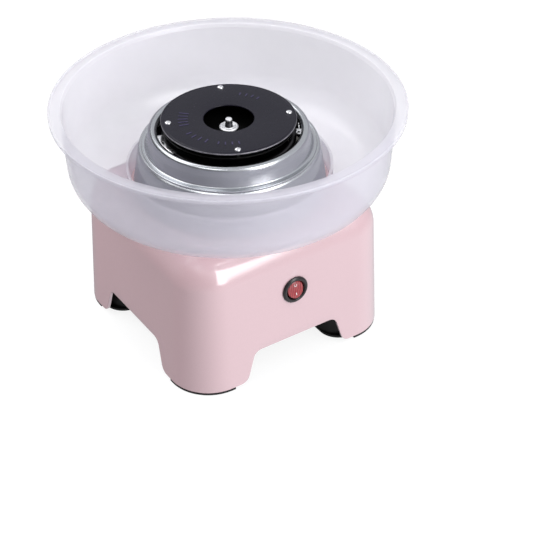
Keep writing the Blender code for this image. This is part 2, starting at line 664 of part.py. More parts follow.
def make_switch(black, red, brass):
    body_radius = SWITCH_HOLE_RADIUS - GAP
    well = SWITCH_WELL_RADIUS
    front = BEZEL_DEPTH + GAP
    profile = [(0.0, -SWITCH_BODY_DEPTH), (body_radius, -SWITCH_BODY_DEPTH), (body_radius, GAP)]
    profile += [(BEZEL_RADIUS, GAP), (BEZEL_RADIUS, GAP + 0.0010), (BEZEL_RADIUS - 0.0012, front)]
    profile += [(well + 0.0006, front), (well, front - 0.0009)]
    profile += [(well, -SWITCH_WELL_DEPTH), (0.0, -SWITCH_WELL_DEPTH)]
    finish("switch_housing", across_wall(profile, SMALL), black)
    rocker = turned_mesh(disc_profile(ROCKER_RADIUS, -0.0038, 0.0038), SMALL)
    for vertex in rocker.verts:
        if vertex.co.z > 0.0:
            vertex.co.z -= ROCKER_DISH * (1.0 - (vertex.co.y / ROCKER_RADIUS) ** 2)
        else:
            vertex.co.y *= 0.80
    axis = pivot("switch_axis", switch_frame() @ Vector((0.0, 0.0, -ROCKER_AXIS_DEPTH)))
    axis.rotation_euler = (math.radians(90.0) - WALL_LEAN + ROCKER_TILT, 0.0, 0.0)
    finish("switch_rocker", rocker, red, axis)
    blade_middle = -SWITCH_BODY_DEPTH - TERMINAL_LENGTH / 2.0 - GAP
    for number, side in enumerate((1.0, -1.0), start=1):
        blade = block_mesh((0.0048, 0.0008, TERMINAL_LENGTH), (0.0, side * 0.0042, blade_middle))
        finish(f"switch_terminal_{number}", moved(blade, switch_frame()), brass)


def make_gland(black):
    """The ring in the rear wall where the supply cord would enter."""
    neck = GLAND_HOLE_RADIUS - GAP
    profile = [(GLAND_BORE, -0.010), (neck, -0.010), (neck, GAP), (GLAND_RADIUS, GAP), (GLAND_RADIUS, 0.0016)]
    profile += [(neck, 0.0048), (GLAND_BORE, 0.0048)]
    place = Matrix.Translation((0.0, wall_half(GLAND_HEIGHT), GLAND_HEIGHT))
    turn = Matrix.Rotation(math.radians(-90.0) + WALL_LEAN, 4, "X")
    finish("cord_gland", moved(turned_mesh(profile, 20), place @ turn), black)


def make_electrics(cream, green, steel, insulation, shield_top):
    low = COVER_PLATE_TOP + GAP
    terminal = block("terminal_block", (0.030, 0.014, 0.011), (0.0, 0.060, low + 0.0055), cream)
    for number in range(3):
        place = (0.0095 * (number - 1), 0.060, low + 0.0075)
        cut(terminal, block_mesh((0.0045, 0.03, 0.0035), place))
    middle = 0.058
    board = block("rectifier_board", (0.034, 0.022, 0.0016), (middle, 0.0, low + 0.0058), green)
    join(board, block_mesh((0.015, 0.015, 0.005), (middle, 0.0, low + 0.0086)))
    for x, y in ((-0.0135, 0.0075), (-0.0135, -0.0075), (0.0135, 0.0075), (0.0135, -0.0075)):
        join(board, peg(0.002, low, low + 0.006, (middle + x, y)))
    can = [(0.0, shield_top + GAP), (0.0085, shield_top + GAP), (0.0085, shield_top + 0.0045)]
    can += [(0.006, shield_top + 0.006), (0.0, shield_top + 0.006)]
    place = Matrix.Translation((0.0, -0.030, 0.0))
    finish("thermal_cutout", moved(turned_mesh(can, 16), place), steel)
    red, white, blue, brown = insulation
    wire("mains_wire", ((0.0, 0.0835, 0.050), (0.0, 0.078, 0.0495), (0.003, 0.073, 0.0435),
                        (0.0095, 0.0685, 0.0418)), 0.0016, brown)
    wire("switch_wire", ((0.0, -0.0655, 0.0705), (-0.002, -0.060, 0.066), (-0.030, -0.050, 0.050),
                         (-0.046, -0.020, 0.043), (-0.046, 0.030, 0.042), (-0.025, 0.048, 0.042),
                         (-0.0095, 0.0515, 0.0418)), 0.0014, red)
    wire("motor_wire", ((0.052, 0.0, 0.0470), (0.050, -0.001, 0.053), (0.040, -0.003, 0.0585),
                        (0.0292, -0.003, 0.0600)), 0.0012, blue)
    wire("heater_wire", ((0.0, 0.0515, 0.0418), (0.004, 0.047, 0.046), (0.024, 0.050, 0.065),
                         (0.035, 0.058, 0.085), (0.036, 0.063, 0.105), (0.034, 0.062, 0.1135)), 0.0014, white)


def main():
    clear_scene()
    pink = make_material("pearl_pink_abs", (0.83, 0.60, 0.64), 0.3)
    frosted = make_material("frosted_bowl", (0.86, 0.85, 0.90), 0.35, 0.0, 0.55)
    black = make_material("black_plastic", (0.02, 0.02, 0.022), 0.45)
    coated = make_material("black_coating", (0.04, 0.035, 0.045), 0.4, 0.3)
    rubber = make_material("rubber", (0.03, 0.03, 0.03), 0.8)
    aluminium = make_material("spun_aluminium", (0.72, 0.73, 0.75), 0.3, 1.0)
    steel = make_material("steel", (0.62, 0.62, 0.64), 0.3, 1.0)
    zinc = make_material("zinc_plate", (0.55, 0.56, 0.58), 0.4, 1.0)
    copper = make_material("copper", (0.80, 0.42, 0.28), 0.3, 1.0)
    brass = make_material("brass", (0.80, 0.62, 0.30), 0.3, 1.0)
    magnet = make_material("ferrite", (0.10, 0.10, 0.11), 0.6, 0.2)
    ceramic = make_material("ceramic", (0.85, 0.82, 0.75), 0.35)
    red = make_material("red_rocker", (0.65, 0.05, 0.06), 0.2)
    green = make_material("circuit_board", (0.04, 0.25, 0.10), 0.5)
    cream = make_material("terminal_plastic", (0.82, 0.78, 0.68), 0.5)
    insulation = [make_material("lead_red", (0.6, 0.05, 0.05), 0.45),
                  make_material("lead_white", (0.8, 0.8, 0.78), 0.45),
                  make_material("lead_blue", (0.05, 0.12, 0.5), 0.45),
                  make_material("lead_brown", (0.22, 0.10, 0.05), 0.45)]
    head = pivot("head_axis", (0.0, 0.0, 0.0))
    make_base_shell(pink)
    make_bottom_cover(black)
    make_feet(rubber, steel)
    make_bowl(frosted)
    shield_top = make_guard(aluminium, steel)
    make_head(coated, aluminium, steel, head)
    make_heater(steel, ceramic, shield_top)
    make_motor((steel, zinc, black, copper, rubber, magnet), head)
    make_switch(black, red, brass)
    make_gland(black)
    make_electrics(cream, green, steel, insulation, shield_top)


main()
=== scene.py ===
import json
import math

import bmesh
import bpy
from mathutils import Matrix, Quaternion, Vector


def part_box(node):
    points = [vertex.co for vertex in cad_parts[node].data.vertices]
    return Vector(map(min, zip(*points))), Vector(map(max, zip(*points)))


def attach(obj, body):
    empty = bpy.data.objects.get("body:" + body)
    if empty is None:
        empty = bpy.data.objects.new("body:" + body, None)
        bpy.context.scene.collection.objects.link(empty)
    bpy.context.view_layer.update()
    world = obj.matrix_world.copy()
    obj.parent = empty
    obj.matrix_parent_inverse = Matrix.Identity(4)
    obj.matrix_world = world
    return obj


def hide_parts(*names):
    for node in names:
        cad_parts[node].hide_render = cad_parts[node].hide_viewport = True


# The looks of a table-top cotton candy machine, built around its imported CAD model.
# Sizes are in metres, in the CAD model's frame: +Z is up and the switch is on the -Y side.

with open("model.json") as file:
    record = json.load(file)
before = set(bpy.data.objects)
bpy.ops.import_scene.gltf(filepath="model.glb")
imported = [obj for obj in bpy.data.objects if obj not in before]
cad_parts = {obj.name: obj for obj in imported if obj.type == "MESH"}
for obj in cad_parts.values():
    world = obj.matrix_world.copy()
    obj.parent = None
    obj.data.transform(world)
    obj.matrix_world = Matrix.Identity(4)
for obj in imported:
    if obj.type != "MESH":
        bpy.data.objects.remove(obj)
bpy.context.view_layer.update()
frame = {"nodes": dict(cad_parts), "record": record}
JOINTS = {joint["name"]: joint for joint in frame["record"]["behaviour"]["joints"]}

GAP = 0.0003  # clearance between touching pieces
FINE = 192  # sides of the large turned pieces
MEDIUM = 96
COARSE = 32

# Base casing
SHELL_LOW, SHELL_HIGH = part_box("base_shell")
WALL_TAPER = 0.045  # inward lean of the walls, per unit of height
WALL_LEAN = math.atan(WALL_TAPER)
SHELL_WALL = 0.0025
STRAIGHT_HALF = 0.0622  # half length of the straight part of each wall
FILLET_START = 0.098  # height where the top edge begins to round over
FILLET_RADIUS = 0.026
TURRET_RADIUS = 0.086
TOP_HOLE_RADIUS = 0.068
ARCH_TOP = 0.0305
ARCH_HALF_LOW = 0.0485  # half width where the flanks would meet the table
ARCH_SLOPE = 0.305  # inward lean of the flanks, per unit of height
ARCH_CORNER = 0.008

# Bottom cover and feet
COVER_PLATE_BOTTOM = 0.0318
COVER_PLATE_TOP = 0.0338
FOOT_INNER = 0.040  # distance of each foot's inner walls from the middle
FOOT_END_RADIUS = 0.018  # round end of an inner wall, beside the arch
FOOT_STEP = 0.0045  # how far behind the outer wall that round end starts
FOOT_STEP_EDGE = 0.001
FOOT_INNER_RADIUS = 0.018  # round corner between the inner walls
SOLE_BOTTOM = 0.0008
SOLE_TOP = 0.0029
FOOT_FLOOR_TOP = 0.0042
FOOT_CUP_TOP = 0.0326
FOOT_WALL = 0.002
COVER_SCREW_SPOT = (0.084, 0.066)
FOOT_PAD_SPOT = (0.076, 0.084)

# Bowl
BOWL_LOW, BOWL_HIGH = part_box("bowl")
RIM_RADIUS = BOWL_HIGH.x
RIM_TOP = BOWL_HIGH.z
RIM_DROP = 0.0034
BOWL_WALL = 0.0022
BOWL_NECK_RADIUS = 0.1335
BOWL_HIP_RADIUS = 0.1307
BOWL_HIP_HEIGHT = 0.157
BOWL_ROUND = 0.026
COLLAR_RADIUS = 0.084
COLLAR_TOP = 0.1464
LUG_TURN = math.radians(-104.0)

# Guard
DRUM_LOW, DRUM_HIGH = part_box("guard_drum")
RING_LOW, RING_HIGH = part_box("guard_ring")
SHEET = 0.0011
DRUM_TOP_RADIUS = 0.0731
WAIST_RADIUS = 0.0672
LIP_RADIUS = 0.0582
LIP_ROLL = 0.0038
LIP_SKIRT = 0.1735
GUARD_SCREW_CIRCLE = 0.0745
GUARD_SCREW_TURNS = (30.0, 150.0, 270.0)

# Spinning head
DISC_LOW, DISC_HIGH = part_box("extractor_disc")
DISC_SHEET = 0.0012
SUGAR_HOLE_RADIUS = 0.0203
RIVET_CIRCLE = 0.0486
RIVET_RADIUS = 0.0016
HEAD_TURN = math.radians(-24.0)
PAN_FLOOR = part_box("sugar_pan")[0].z
PAN_FLANGE = 0.181
BAND_RADIUS = 0.0466
SHAFT_RADIUS = 0.003
SHAFT_LOW, SHAFT_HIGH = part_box("motor_shaft")
NUT_LOW, NUT_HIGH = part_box("lock_nut")

# Heater
HEATER_CIRCLE = 0.0515
HEATER_TUBE = 0.0026
HEATER_HEIGHT = 0.1715

# Switch and cord inlet
SWITCH_HEIGHT = 0.0756
SWITCH_HOLE_RADIUS = 0.0101
BEZEL_RADIUS = 0.0117
SWITCH_WELL_RADIUS = 0.0080
ROCKER_RADIUS = 0.0074
ROCKER_DISH = 0.0012
ROCKER_TILT = math.radians(-9.0)
GLAND_HEIGHT = 0.050
GLAND_HOLE_RADIUS = 0.0072

# Colours
PINK = (0.60, 0.405, 0.435)
BOWL_TINT = (0.57, 0.552, 0.615)
BOWL_DENSITY = 0.42  # how much of the light each face of the wall stops
ALUMINIUM = (0.53, 0.545, 0.57)
MATERIALS = {}  # by name, filled by make_materials


# ------------ mesh helpers

def new_object(name, form, material, angle=35.0):
    """Turns a bmesh into a named object, smooth where it is round."""
    bmesh.ops.remove_doubles(form, verts=form.verts, dist=1e-7)
    bmesh.ops.recalc_face_normals(form, faces=form.faces)
    mesh = bpy.data.meshes.new(name)
    form.to_mesh(mesh)
    form.free()
    item = bpy.data.objects.new(name, mesh)
    bpy.context.scene.collection.objects.link(item)
    if material:
        mesh.materials.append(MATERIALS[material])
    smooth(item, angle)
    return item


def smooth(item, angle=35.0):
    item.data.shade_smooth()
    item.data.set_sharp_from_angle(angle=math.radians(angle))


def apply_modifiers(item, angle=35.0):
    bpy.context.view_layer.update()
    result = item.evaluated_get(bpy.context.evaluated_depsgraph_get())
    mesh = bpy.data.meshes.new_from_object(result)
    item.modifiers.clear()
    item.data = mesh
    smooth(item, angle)
    return item


def combine(item, form, operation):
    tool = new_object(item.name + "_tool", form, None)
    modifier = item.modifiers.new(operation, "BOOLEAN")
    modifier.operation = operation
    modifier.solver = "EXACT"
    modifier.object = tool
    apply_modifiers(item)
    bpy.data.objects.remove(tool, do_unlink=True)
    return item


def cut(item, form):
    return combine(item, form, "DIFFERENCE")


def join(item, form):
    return combine(item, form, "UNION")


def bevel(item, width, segments=2, angle=40.0):
    modifier = item.modifiers.new("edges", "BEVEL")
    modifier.width = width
    modifier.segments = segments
    modifier.limit_method = "ANGLE"
    modifier.angle_limit = math.radians(angle)
    modifier.harden_normals = False
    return apply_modifiers(item)


def rotation(degrees, axis):
    return Matrix.Rotation(math.radians(degrees), 4, axis)


def moved(form, matrix):
    bmesh.ops.transform(form, matrix=matrix, verts=form.verts)
    return form


def arc(centre, radius, start, end, steps):
    """Points on a circular arc between two angles in degrees."""
    points = []
    for step in range(steps + 1):
        angle = math.radians(start + (end - start) * step / steps)
        points.append((centre[0] + radius * math.cos(angle), centre[1] + radius * math.sin(angle)))
    return points


def rounded(outline, steps=5):
    """A closed outline of (x, y) or (x, y, radius) corners, with the latter rounded."""
    result = []
    for index, corner in enumerate(outline):
        point = Vector(corner[:2])
        if len(corner) == 2:
            result.append(tuple(point))
            continue
        before = Vector(outline[index - 1][:2]) - point
        after = Vector(outline[(index + 1) % len(outline)][:2]) - point
        reach = corner[2] / math.tan(before.angle(after) / 2.0)
        start = point + before.normalized() * reach
        end = point + after.normalized() * reach
        for step in range(steps + 1):
            t = step / steps
            spot = start * (1.0 - t) ** 2 + point * (2.0 * t * (1.0 - t)) + end * t ** 2
            result.append(tuple(spot))
    return result


def polar(radius, angle):
    return radius * math.cos(angle), radius * math.sin(angle)


def circle(form, radius, height, segments):
    """Adds a ring of vertices around Z."""
    spots = [polar(radius, 2.0 * math.pi * step / segments) for step in range(segments)]
    return [form.verts.new((x, y, height)) for x, y in spots]


def band(form, lower, upper):
    """Joins two closed rings of vertices with a row of faces."""
    for step in range(len(lower)):
        after = (step + 1) % len(lower)
        form.faces.new((lower[step], lower[after], upper[after], upper[step]))


def turned(profile, segments):
    """Spins a closed outline of (radius, height) points about Z."""
    form = bmesh.new()
    rings = []
    for radius, height in profile:
        if radius < 1e-6:
            rings.append([form.verts.new((0.0, 0.0, height))] * segments)
        else:
            rings.append(circle(form, radius, height, segments))
    for index, ring in enumerate(rings):
        following = rings[(index + 1) % len(rings)]
        for step in range(segments):
            after = (step + 1) % segments
            corners = []
            for corner in (ring[step], ring[after], following[after], following[step]):
                if corner not in corners:
                    corners.append(corner)
            if len(corners) > 2:
                form.faces.new(corners)
    return form


def lathe(name, outline, material, segments=FINE, steps=5, x=0.0, y=0.0):
    return new_object(name, at(turned(rounded(outline, steps), segments), x, y), material)


def plug(radius, low, high, segments=COARSE):
    return turned([(0.0, low), (radius, low), (radius, high), (0.0, high)], segments)


def at(form, x, y, z=0.0):
    return moved(form, Matrix.Translation((x, y, z)))


def loft(rings):
    """Skins a stack of closed (points, height) outlines and closes both ends."""
    form = bmesh.new()
    layers = []
    for outline, height in rings:
        layers.append([form.verts.new((x, y, height)) for x, y in outline])
    for lower, upper in zip(layers, layers[1:]):
        band(form, lower, upper)
    form.faces.new(layers[0])
    form.faces.new(layers[-1])
    return form


def slab(size, radius=0.0):
    """A flat plate with round corners, centred on the origin."""
    x, y, z = (value / 2.0 for value in size)
    corners = [(x, y, radius), (-x, y, radius), (-x, -y, radius), (x, -y, radius)]
    outline = rounded(corners) if radius else [corner[:2] for corner in corners]
    return loft([(outline, -z), (outline, z)])


def quarter_turns(x, y):
    return ((x, y), (-y, x), (-x, -y), (y, -x))


def place(item, body, node=None):
    """Fixes a piece to its body, and hides the CAD node that it stands for."""
    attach(item, body)
    if node:
        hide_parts(node)
    return item


# ------------ materials

class Nodes:
    """The node tree of a material or a world."""

    def __init__(self, owner):
        owner.use_nodes = True
        self.tree = owner.node_tree

    def node(self, kind, inputs=None, **properties):
        """Adds a node; inputs are constants or the outputs of other nodes."""
        made = self.tree.nodes.new(kind)
        for key, value in properties.items():
            setattr(made, key, value)
        for key, value in (inputs or {}).items():
            if isinstance(value, bpy.types.NodeSocket):
                self.tree.links.new(value, made.inputs[key])
            else:
                made.inputs[key].default_value = value
        return made

    def maths(self, operation, *values):
        made = self.node("ShaderNodeMath", dict(enumerate(values)), operation=operation)
        return made.outputs["Value"]

    def spread(self, value, low, high, start=0.3, end=0.7):
        """Maps the middle of a texture's range to the range from low to high."""
        made = self.node("ShaderNodeMapRange", {"Value": value, "From Min": start, "From Max": end,
                                                "To Min": low, "To Max": high})
        return made.outputs["Result"]


class Surface(Nodes):
    """A Principled material whose textures are in the object's own coordinates."""

    def __init__(self, name, **settings):
        self.material = bpy.data.materials.new(name)
        super().__init__(self.material)
        self.shader = self.tree.nodes["Principled BSDF"]
        for socket, value in settings.items():
            self.shader.inputs[socket.replace("_", " ")].default_value = value
        self.coordinates = self.node("ShaderNodeTexCoord").outputs["Object"]

    def link(self, output, socket):
        self.tree.links.new(output, self.shader.inputs[socket])

    def finish(self, colour, roughness, normal):
        for output, socket in ((colour, "Base Color"), (roughness, "Roughness"), (normal, "Normal")):
            self.link(output, socket)
        return self.material

    def noise(self, scale, detail=3.0, roughness=0.5, vector=None):
        made = self.node("ShaderNodeTexNoise", {"Vector": vector or self.coordinates, "Scale": scale,
                                                "Detail": detail, "Roughness": roughness})
        return made.outputs["Fac"]

    def mix(self, factor, first, second):
        made = self.node("ShaderNodeMix", data_type="RGBA")
        for index, value in ((0, factor), (6, first), (7, second)):
            if isinstance(value, bpy.types.NodeSocket):
                self.tree.links.new(value, made.inputs[index])
            elif index:
                made.inputs[index].default_value = (*value, 1.0)
            else:
                made.inputs[index].default_value = value
        return made.outputs[2]

    def bump(self, height, distance, strength=1.0, onto=None):
        inputs = {"Height": height, "Distance": distance, "Strength": strength}
        if onto:
            inputs["Normal"] = onto
        return self.node("ShaderNodeBump", inputs).outputs["Normal"]

    def edges(self, start=0.51, end=0.58):
        """Near one on the mesh's convex edges, and zero elsewhere."""
        geometry = self.node("ShaderNodeNewGeometry")
        return self.spread(geometry.outputs["Pointiness"], 0.0, 1.0, start, end)

    def radius_and_height(self):
        """The distance from the vertical axis, and the height."""
        split = self.node("ShaderNodeSeparateXYZ", {"Vector": self.coordinates})
        across = self.node("ShaderNodeCombineXYZ", {"X": split.outputs["X"], "Y": split.outputs["Y"]})
        length = self.node("ShaderNodeVectorMath", {0: across.outputs[0]}, operation="LENGTH")
        return length.outputs["Value"], split.outputs["Z"]

    def rings(self, scale, detail=2.0):
        """Fine circular marks around the vertical axis, as a lathe leaves them."""
        radius, height = self.radius_and_height()
        line = self.maths("ADD", radius, self.maths("MULTIPLY", height, 1.37))
        vector = self.node("ShaderNodeCombineXYZ", {"X": line}).outputs[0]
        return self.noise(scale, detail, 0.6, vector)


def darker(colour, share):
    return tuple(channel * share for channel in colour)


def moulded(name, colour, roughness, grain=900.0, depth=0.00002, wear=0.15, **settings):
    """Moulded plastic or rubber: a fine grain, uneven gloss and slightly rubbed edges."""
    surface = Surface(name, **settings)
    cloud = surface.spread(surface.noise(35.0, 4.0), 0.0, 1.0)
    base = surface.mix(cloud, darker(colour, 0.93), tuple(min(1.0, c * 1.05) for c in colour))
    rubbed = tuple(min(1.0, c * 1.25 + 0.02) for c in colour)
    factor = surface.maths("MULTIPLY", surface.edges(), wear)
    gloss = surface.spread(surface.noise(160.0, 5.0, 0.6), roughness * 0.85, roughness * 1.2)
    return surface.finish(surface.mix(factor, base, rubbed), gloss,
                          surface.bump(surface.noise(grain, 3.0, 0.6), depth))


def metal(name, colour, roughness, marks=1400.0, depth=0.000006, turned_marks=False, **settings):
    """Bare metal with drawing or turning marks and a little dulling."""
    surface = Surface(name, Metallic=1.0, **settings)
    if turned_marks:
        lines = surface.rings(marks)
    else:
        stretch = surface.node("ShaderNodeMapping", {"Vector": surface.coordinates,
                                                     "Scale": (1.0, 1.0, 0.06)})
        lines = surface.noise(marks, 3.0, 0.6, stretch.outputs[0])
    dull = surface.spread(surface.noise(60.0, 5.0, 0.6), 0.0, 1.0, 0.35, 0.75)
    base = surface.mix(surface.spread(lines, 0.0, 1.0), darker(colour, 0.9), colour)
    grain = surface.spread(lines, roughness * 0.8, roughness * 1.25)
    return surface.finish(surface.mix(surface.maths("MULTIPLY", dull, 0.35), base, darker(colour, 0.8)),
                          surface.maths("ADD", grain, surface.maths("MULTIPLY", dull, 0.08)),
                          surface.bump(lines, depth))


def pearl_pink():
    """Pearl plastic: pale flakes under a clear gloss, with a faint orange peel."""
    surface = Surface("pearl_pink", IOR=1.5, Coat_Weight=1.0, Coat_Roughness=0.15, Coat_IOR=1.9)
    flakes = surface.node("ShaderNodeTexVoronoi", {"Vector": surface.coordinates, "Scale": 3200.0})
    sparkle = surface.spread(flakes.outputs["Color"], 0.0, 1.0, 0.2, 0.9)
    base = surface.mix(sparkle, PINK, tuple(min(1.0, c * 1.05 + 0.01) for c in PINK))
    cloud = surface.spread(surface.noise(9.0, 3.0), 0.0, 0.35)
    base = surface.mix(cloud, base, darker(PINK, 0.96))
    rubbed = surface.maths("MULTIPLY", surface.edges(0.52, 0.60), 0.15)
    return surface.finish(surface.mix(rubbed, base, (0.72, 0.60, 0.63)),
                          surface.spread(surface.noise(220.0, 5.0, 0.6), 0.30, 0.38),
                          surface.bump(surface.noise(260.0, 2.0), 0.00002, 0.4))


def frosted_bowl():
    """Milky see-through plastic: light that enters one face spreads through the wall to the other."""
    surface = Surface("frosted_bowl", IOR=1.45, Coat_Weight=0.5, Coat_Roughness=0.08,
                      Subsurface_Weight=0.9, Subsurface_Scale=0.01, Subsurface_Radius=(1.0, 1.0, 1.0))
    flow = surface.noise(14.0, 3.0, 0.5)
    base = surface.mix(surface.spread(flow, 0.0, 1.0), BOWL_TINT, tuple(c * 1.02 for c in BOWL_TINT))
    facing = surface.node("ShaderNodeLayerWeight", {"Blend": 0.5}).outputs["Facing"]
    edge = surface.maths("MULTIPLY", surface.maths("POWER", facing, 5.0), 0.15)
    cloud = surface.spread(flow, BOWL_DENSITY - 0.01, BOWL_DENSITY + 0.015)
    surface.link(surface.maths("ADD", cloud, edge), "Alpha")
    return surface.finish(base, surface.spread(surface.noise(90.0, 4.0, 0.6), 0.20, 0.27),
                          surface.bump(surface.noise(500.0, 2.0, 0.5), 0.000003, 0.3))


def spun_aluminium():
    """Spun sheet: concentric tool marks that stretch its highlights."""
    surface = Surface("spun_aluminium", Metallic=1.0, Anisotropic=0.6)
    fine = surface.rings(5200.0, 3.0)
    broad = surface.rings(520.0, 2.0)
    lines = surface.maths("ADD", surface.maths("MULTIPLY", fine, 0.5), surface.maths("MULTIPLY", broad, 0.5))
    dull = surface.spread(surface.noise(45.0, 5.0, 0.6), 0.0, 0.5, 0.4, 0.8)
    base = surface.mix(surface.spread(lines, 0.0, 1.0), darker(ALUMINIUM, 0.86), ALUMINIUM)
    tangent = surface.node("ShaderNodeTangent", direction_type="RADIAL", axis="Z")
    surface.link(tangent.outputs[0], "Tangent")
    return surface.finish(surface.mix(dull, base, darker(ALUMINIUM, 0.84)),
                          surface.spread(lines, 0.16, 0.27), surface.bump(lines, 0.000006))


def dark_coating(name, colour, roughness, rim=1.0, **settings):
    """Dark baked coating with a fine speckle, and a painted highlight: a patchy, brighter band around the
    radius of its rim.
    """
    surface = Surface(name, **settings)
    speck = surface.spread(surface.noise(2600.0, 2.0), 0.0, 1.0, 0.35, 0.75)
    base = surface.mix(speck, darker(colour, 0.8), tuple(c * 1.3 for c in colour))
    radius, height = surface.radius_and_height()
    patch = surface.spread(surface.noise(120.0, 4.0), 0.35, 1.0)
    # Painted highlight: a thin, patchy band just inside the rim is made brighter and partly metallic,
    # standing in for the light along the disc's edge.
    edge = surface.maths("MULTIPLY", surface.spread(radius, 0.0, 1.0, rim - 0.0004, rim - 0.0001), patch)
    crest = surface.spread(height, 0.0, 1.0, DISC_HIGH.z - 0.00005, DISC_HIGH.z + 0.00005)
    base = surface.mix(crest, base, tuple(c * 7.0 for c in colour))
    surface.link(surface.maths("MULTIPLY", edge, 0.7), "Metallic")
    gloss = surface.maths("ADD", surface.noise(300.0, 4.0), surface.rings(2400.0))
    return surface.finish(surface.mix(edge, base, (0.34, 0.33, 0.36)),
                          surface.spread(gloss, roughness * 0.85, roughness * 1.15, 0.7, 1.3),
                          surface.bump(surface.noise(2200.0, 2.0), 0.000008, 0.5))


# colour, roughness, then the grain or marks and their depth where they aren't the usual ones
PLASTICS = {
    "bezel_plastic": ((0.012, 0.009, 0.010), 0.24, 900.0, 0.000004),
    "rubber": ((0.022, 0.022, 0.022), 0.75, 1400.0, 0.00004),
    "white_mark": ((0.85, 0.80, 0.80), 0.4),
    "ferrite": ((0.055, 0.055, 0.06), 0.6, 1800.0, 0.00005),
    "ceramic": ((0.80, 0.77, 0.70), 0.3, 900.0, 0.00001),
    "circuit_board": ((0.02, 0.16, 0.06), 0.35, 900.0, 0.00001),
    "terminal_plastic": ((0.74, 0.70, 0.60), 0.45),
    "lead_red": ((0.55, 0.03, 0.03), 0.45),
    "lead_white": ((0.75, 0.75, 0.72), 0.5, 500.0, 0.0001),
    "lead_blue": ((0.03, 0.08, 0.40), 0.45),
    "lead_brown": ((0.16, 0.07, 0.035), 0.45),
}
METALS = {
    "steel": ((0.62, 0.62, 0.64), 0.28),
    "bright_steel": ((0.90, 0.90, 0.92), 0.20, 1400.0, 0.000002),
    "nut_steel": ((0.92, 0.92, 0.94), 0.42, 1400.0, 0.000002),
    # Painted shade: the heater tube and the heat shield are near-black steel, as dark as the shade in the
    # gap under the disc.
    "steel_painted_gap_shade": ((0.05, 0.048, 0.052), 0.35),
    "zinc": ((0.56, 0.57, 0.58), 0.4, 240.0),
    "copper": ((0.80, 0.42, 0.28), 0.28),
    "brass": ((0.80, 0.62, 0.30), 0.25),
}
TURNED_METALS = {
    # Painted shade: the shaft's threaded steel is near-black, as dark as the shade in the sugar hole around
    # it.
    "thread_steel_painted_shade": ((0.05, 0.05, 0.055), 0.3),
    "turned_steel": ((0.66, 0.66, 0.68), 0.22, 2600.0),
    "laminations": ((0.36, 0.36, 0.38), 0.45, 900.0),
}


def make_materials():
    MATERIALS["pearl_pink"] = pearl_pink()
    MATERIALS["frosted_bowl"] = frosted_bowl()
    MATERIALS["aluminium"] = spun_aluminium()
    MATERIALS["red_rocker"] = red_lens()
    MATERIALS["black_coating"] = dark_coating("disc_coating", (0.006, 0.005, 0.012), 0.3,
                                              DISC_HIGH.x, IOR=1.32)
    # The sugar pan's black coating, painted darker and less glossy than the disc's so that it also stands
    # for the shade inside the sugar hole.
    MATERIALS["pan_coating_with_painted_shade"] = dark_coating("pan_coating_with_painted_shade", (0.002, 0.002, 0.002), 0.35, IOR=1.2)
    MATERIALS["black_plastic"] = moulded("black_plastic", (0.009, 0.007, 0.007), 0.45, IOR=1.35)
    for name, look in PLASTICS.items():
        MATERIALS[name] = moulded(name, *look)
    for name, look in METALS.items():
        MATERIALS[name] = metal(name, *look)
    for name, look in TURNED_METALS.items():
        MATERIALS[name] = metal(name, *look, turned_marks=True)


def red_lens():
    """Clear red plastic with fine flutes moulded into its back, and painted light and dark streaks along the
    flutes.
    """
    surface = Surface("red_lens", Coat_Weight=0.4, Coat_Roughness=0.06, IOR=1.45)
    split = surface.node("ShaderNodeSeparateXYZ", {"Vector": surface.coordinates})
    wave = surface.maths("SINE", surface.maths("MULTIPLY", split.outputs["X"], 2.0 * math.pi / 0.0017))
    # Painted light and shade: the colour swings from dark to bright red across each flute, standing in for
    # how the flutes bend the light.
    painted_flute_streaks = surface.spread(wave, 0.0, 1.0, -1.0, 1.0)
    cloud = surface.spread(surface.noise(300.0, 3.0), 0.0, 1.0)
    base = surface.mix(painted_flute_streaks, (0.13, 0.004, 0.008), (0.42, 0.045, 0.055))
    return surface.finish(surface.mix(surface.maths("MULTIPLY", cloud, 0.3), base, (0.45, 0.14, 0.14)),
                          surface.spread(surface.noise(500.0, 3.0), 0.12, 0.2),
                          surface.bump(wave, 0.00003, 0.3))


# ------------ base casing

def wall_half(height):
    """Half width of the casing's straight walls at a height."""
    return SHELL_HIGH.x - WALL_TAPER * (height - SHELL_LOW.z)


def arch_edge():
    """The side of an arch from the bottom up, as (sideways, height) points."""
    lean = math.degrees(math.atan(ARCH_SLOPE))
    shift = ARCH_CORNER / math.cos(math.radians(lean))
    toe_height = SHELL_LOW.z + ARCH_CORNER
    knee_height = ARCH_TOP - ARCH_CORNER
    toe = (ARCH_HALF_LOW - ARCH_SLOPE * toe_height + shift, toe_height)
    knee = (ARCH_HALF_LOW - ARCH_SLOPE * knee_height - shift, knee_height)
    low = arc(toe, ARCH_CORNER, -90.0, lean - 180.0, 9)
    high = arc(knee, ARCH_CORNER, lean, 90.0, 9)
    between = []
    for step in (1, 2, 3):
        between.append(tuple(Vector(low[-1]).lerp(Vector(high[0]), step / 4.0)))
    return low + between + high


def foot_strip(half, inner):
    """Points along one corner of the casing, from the arch on one side to the next arch."""
    steps = 6
    strip = []
    for step in range(steps):
        strip.append((half, inner + (STRAIGHT_HALF - inner) * step / steps))
    strip += arc((STRAIGHT_HALF, STRAIGHT_HALF), half - STRAIGHT_HALF, 0.0, 90.0, 16)
    for step in range(1, steps + 1):
        strip.append((STRAIGHT_HALF + (inner - STRAIGHT_HALF) * step / steps, half))
    return strip


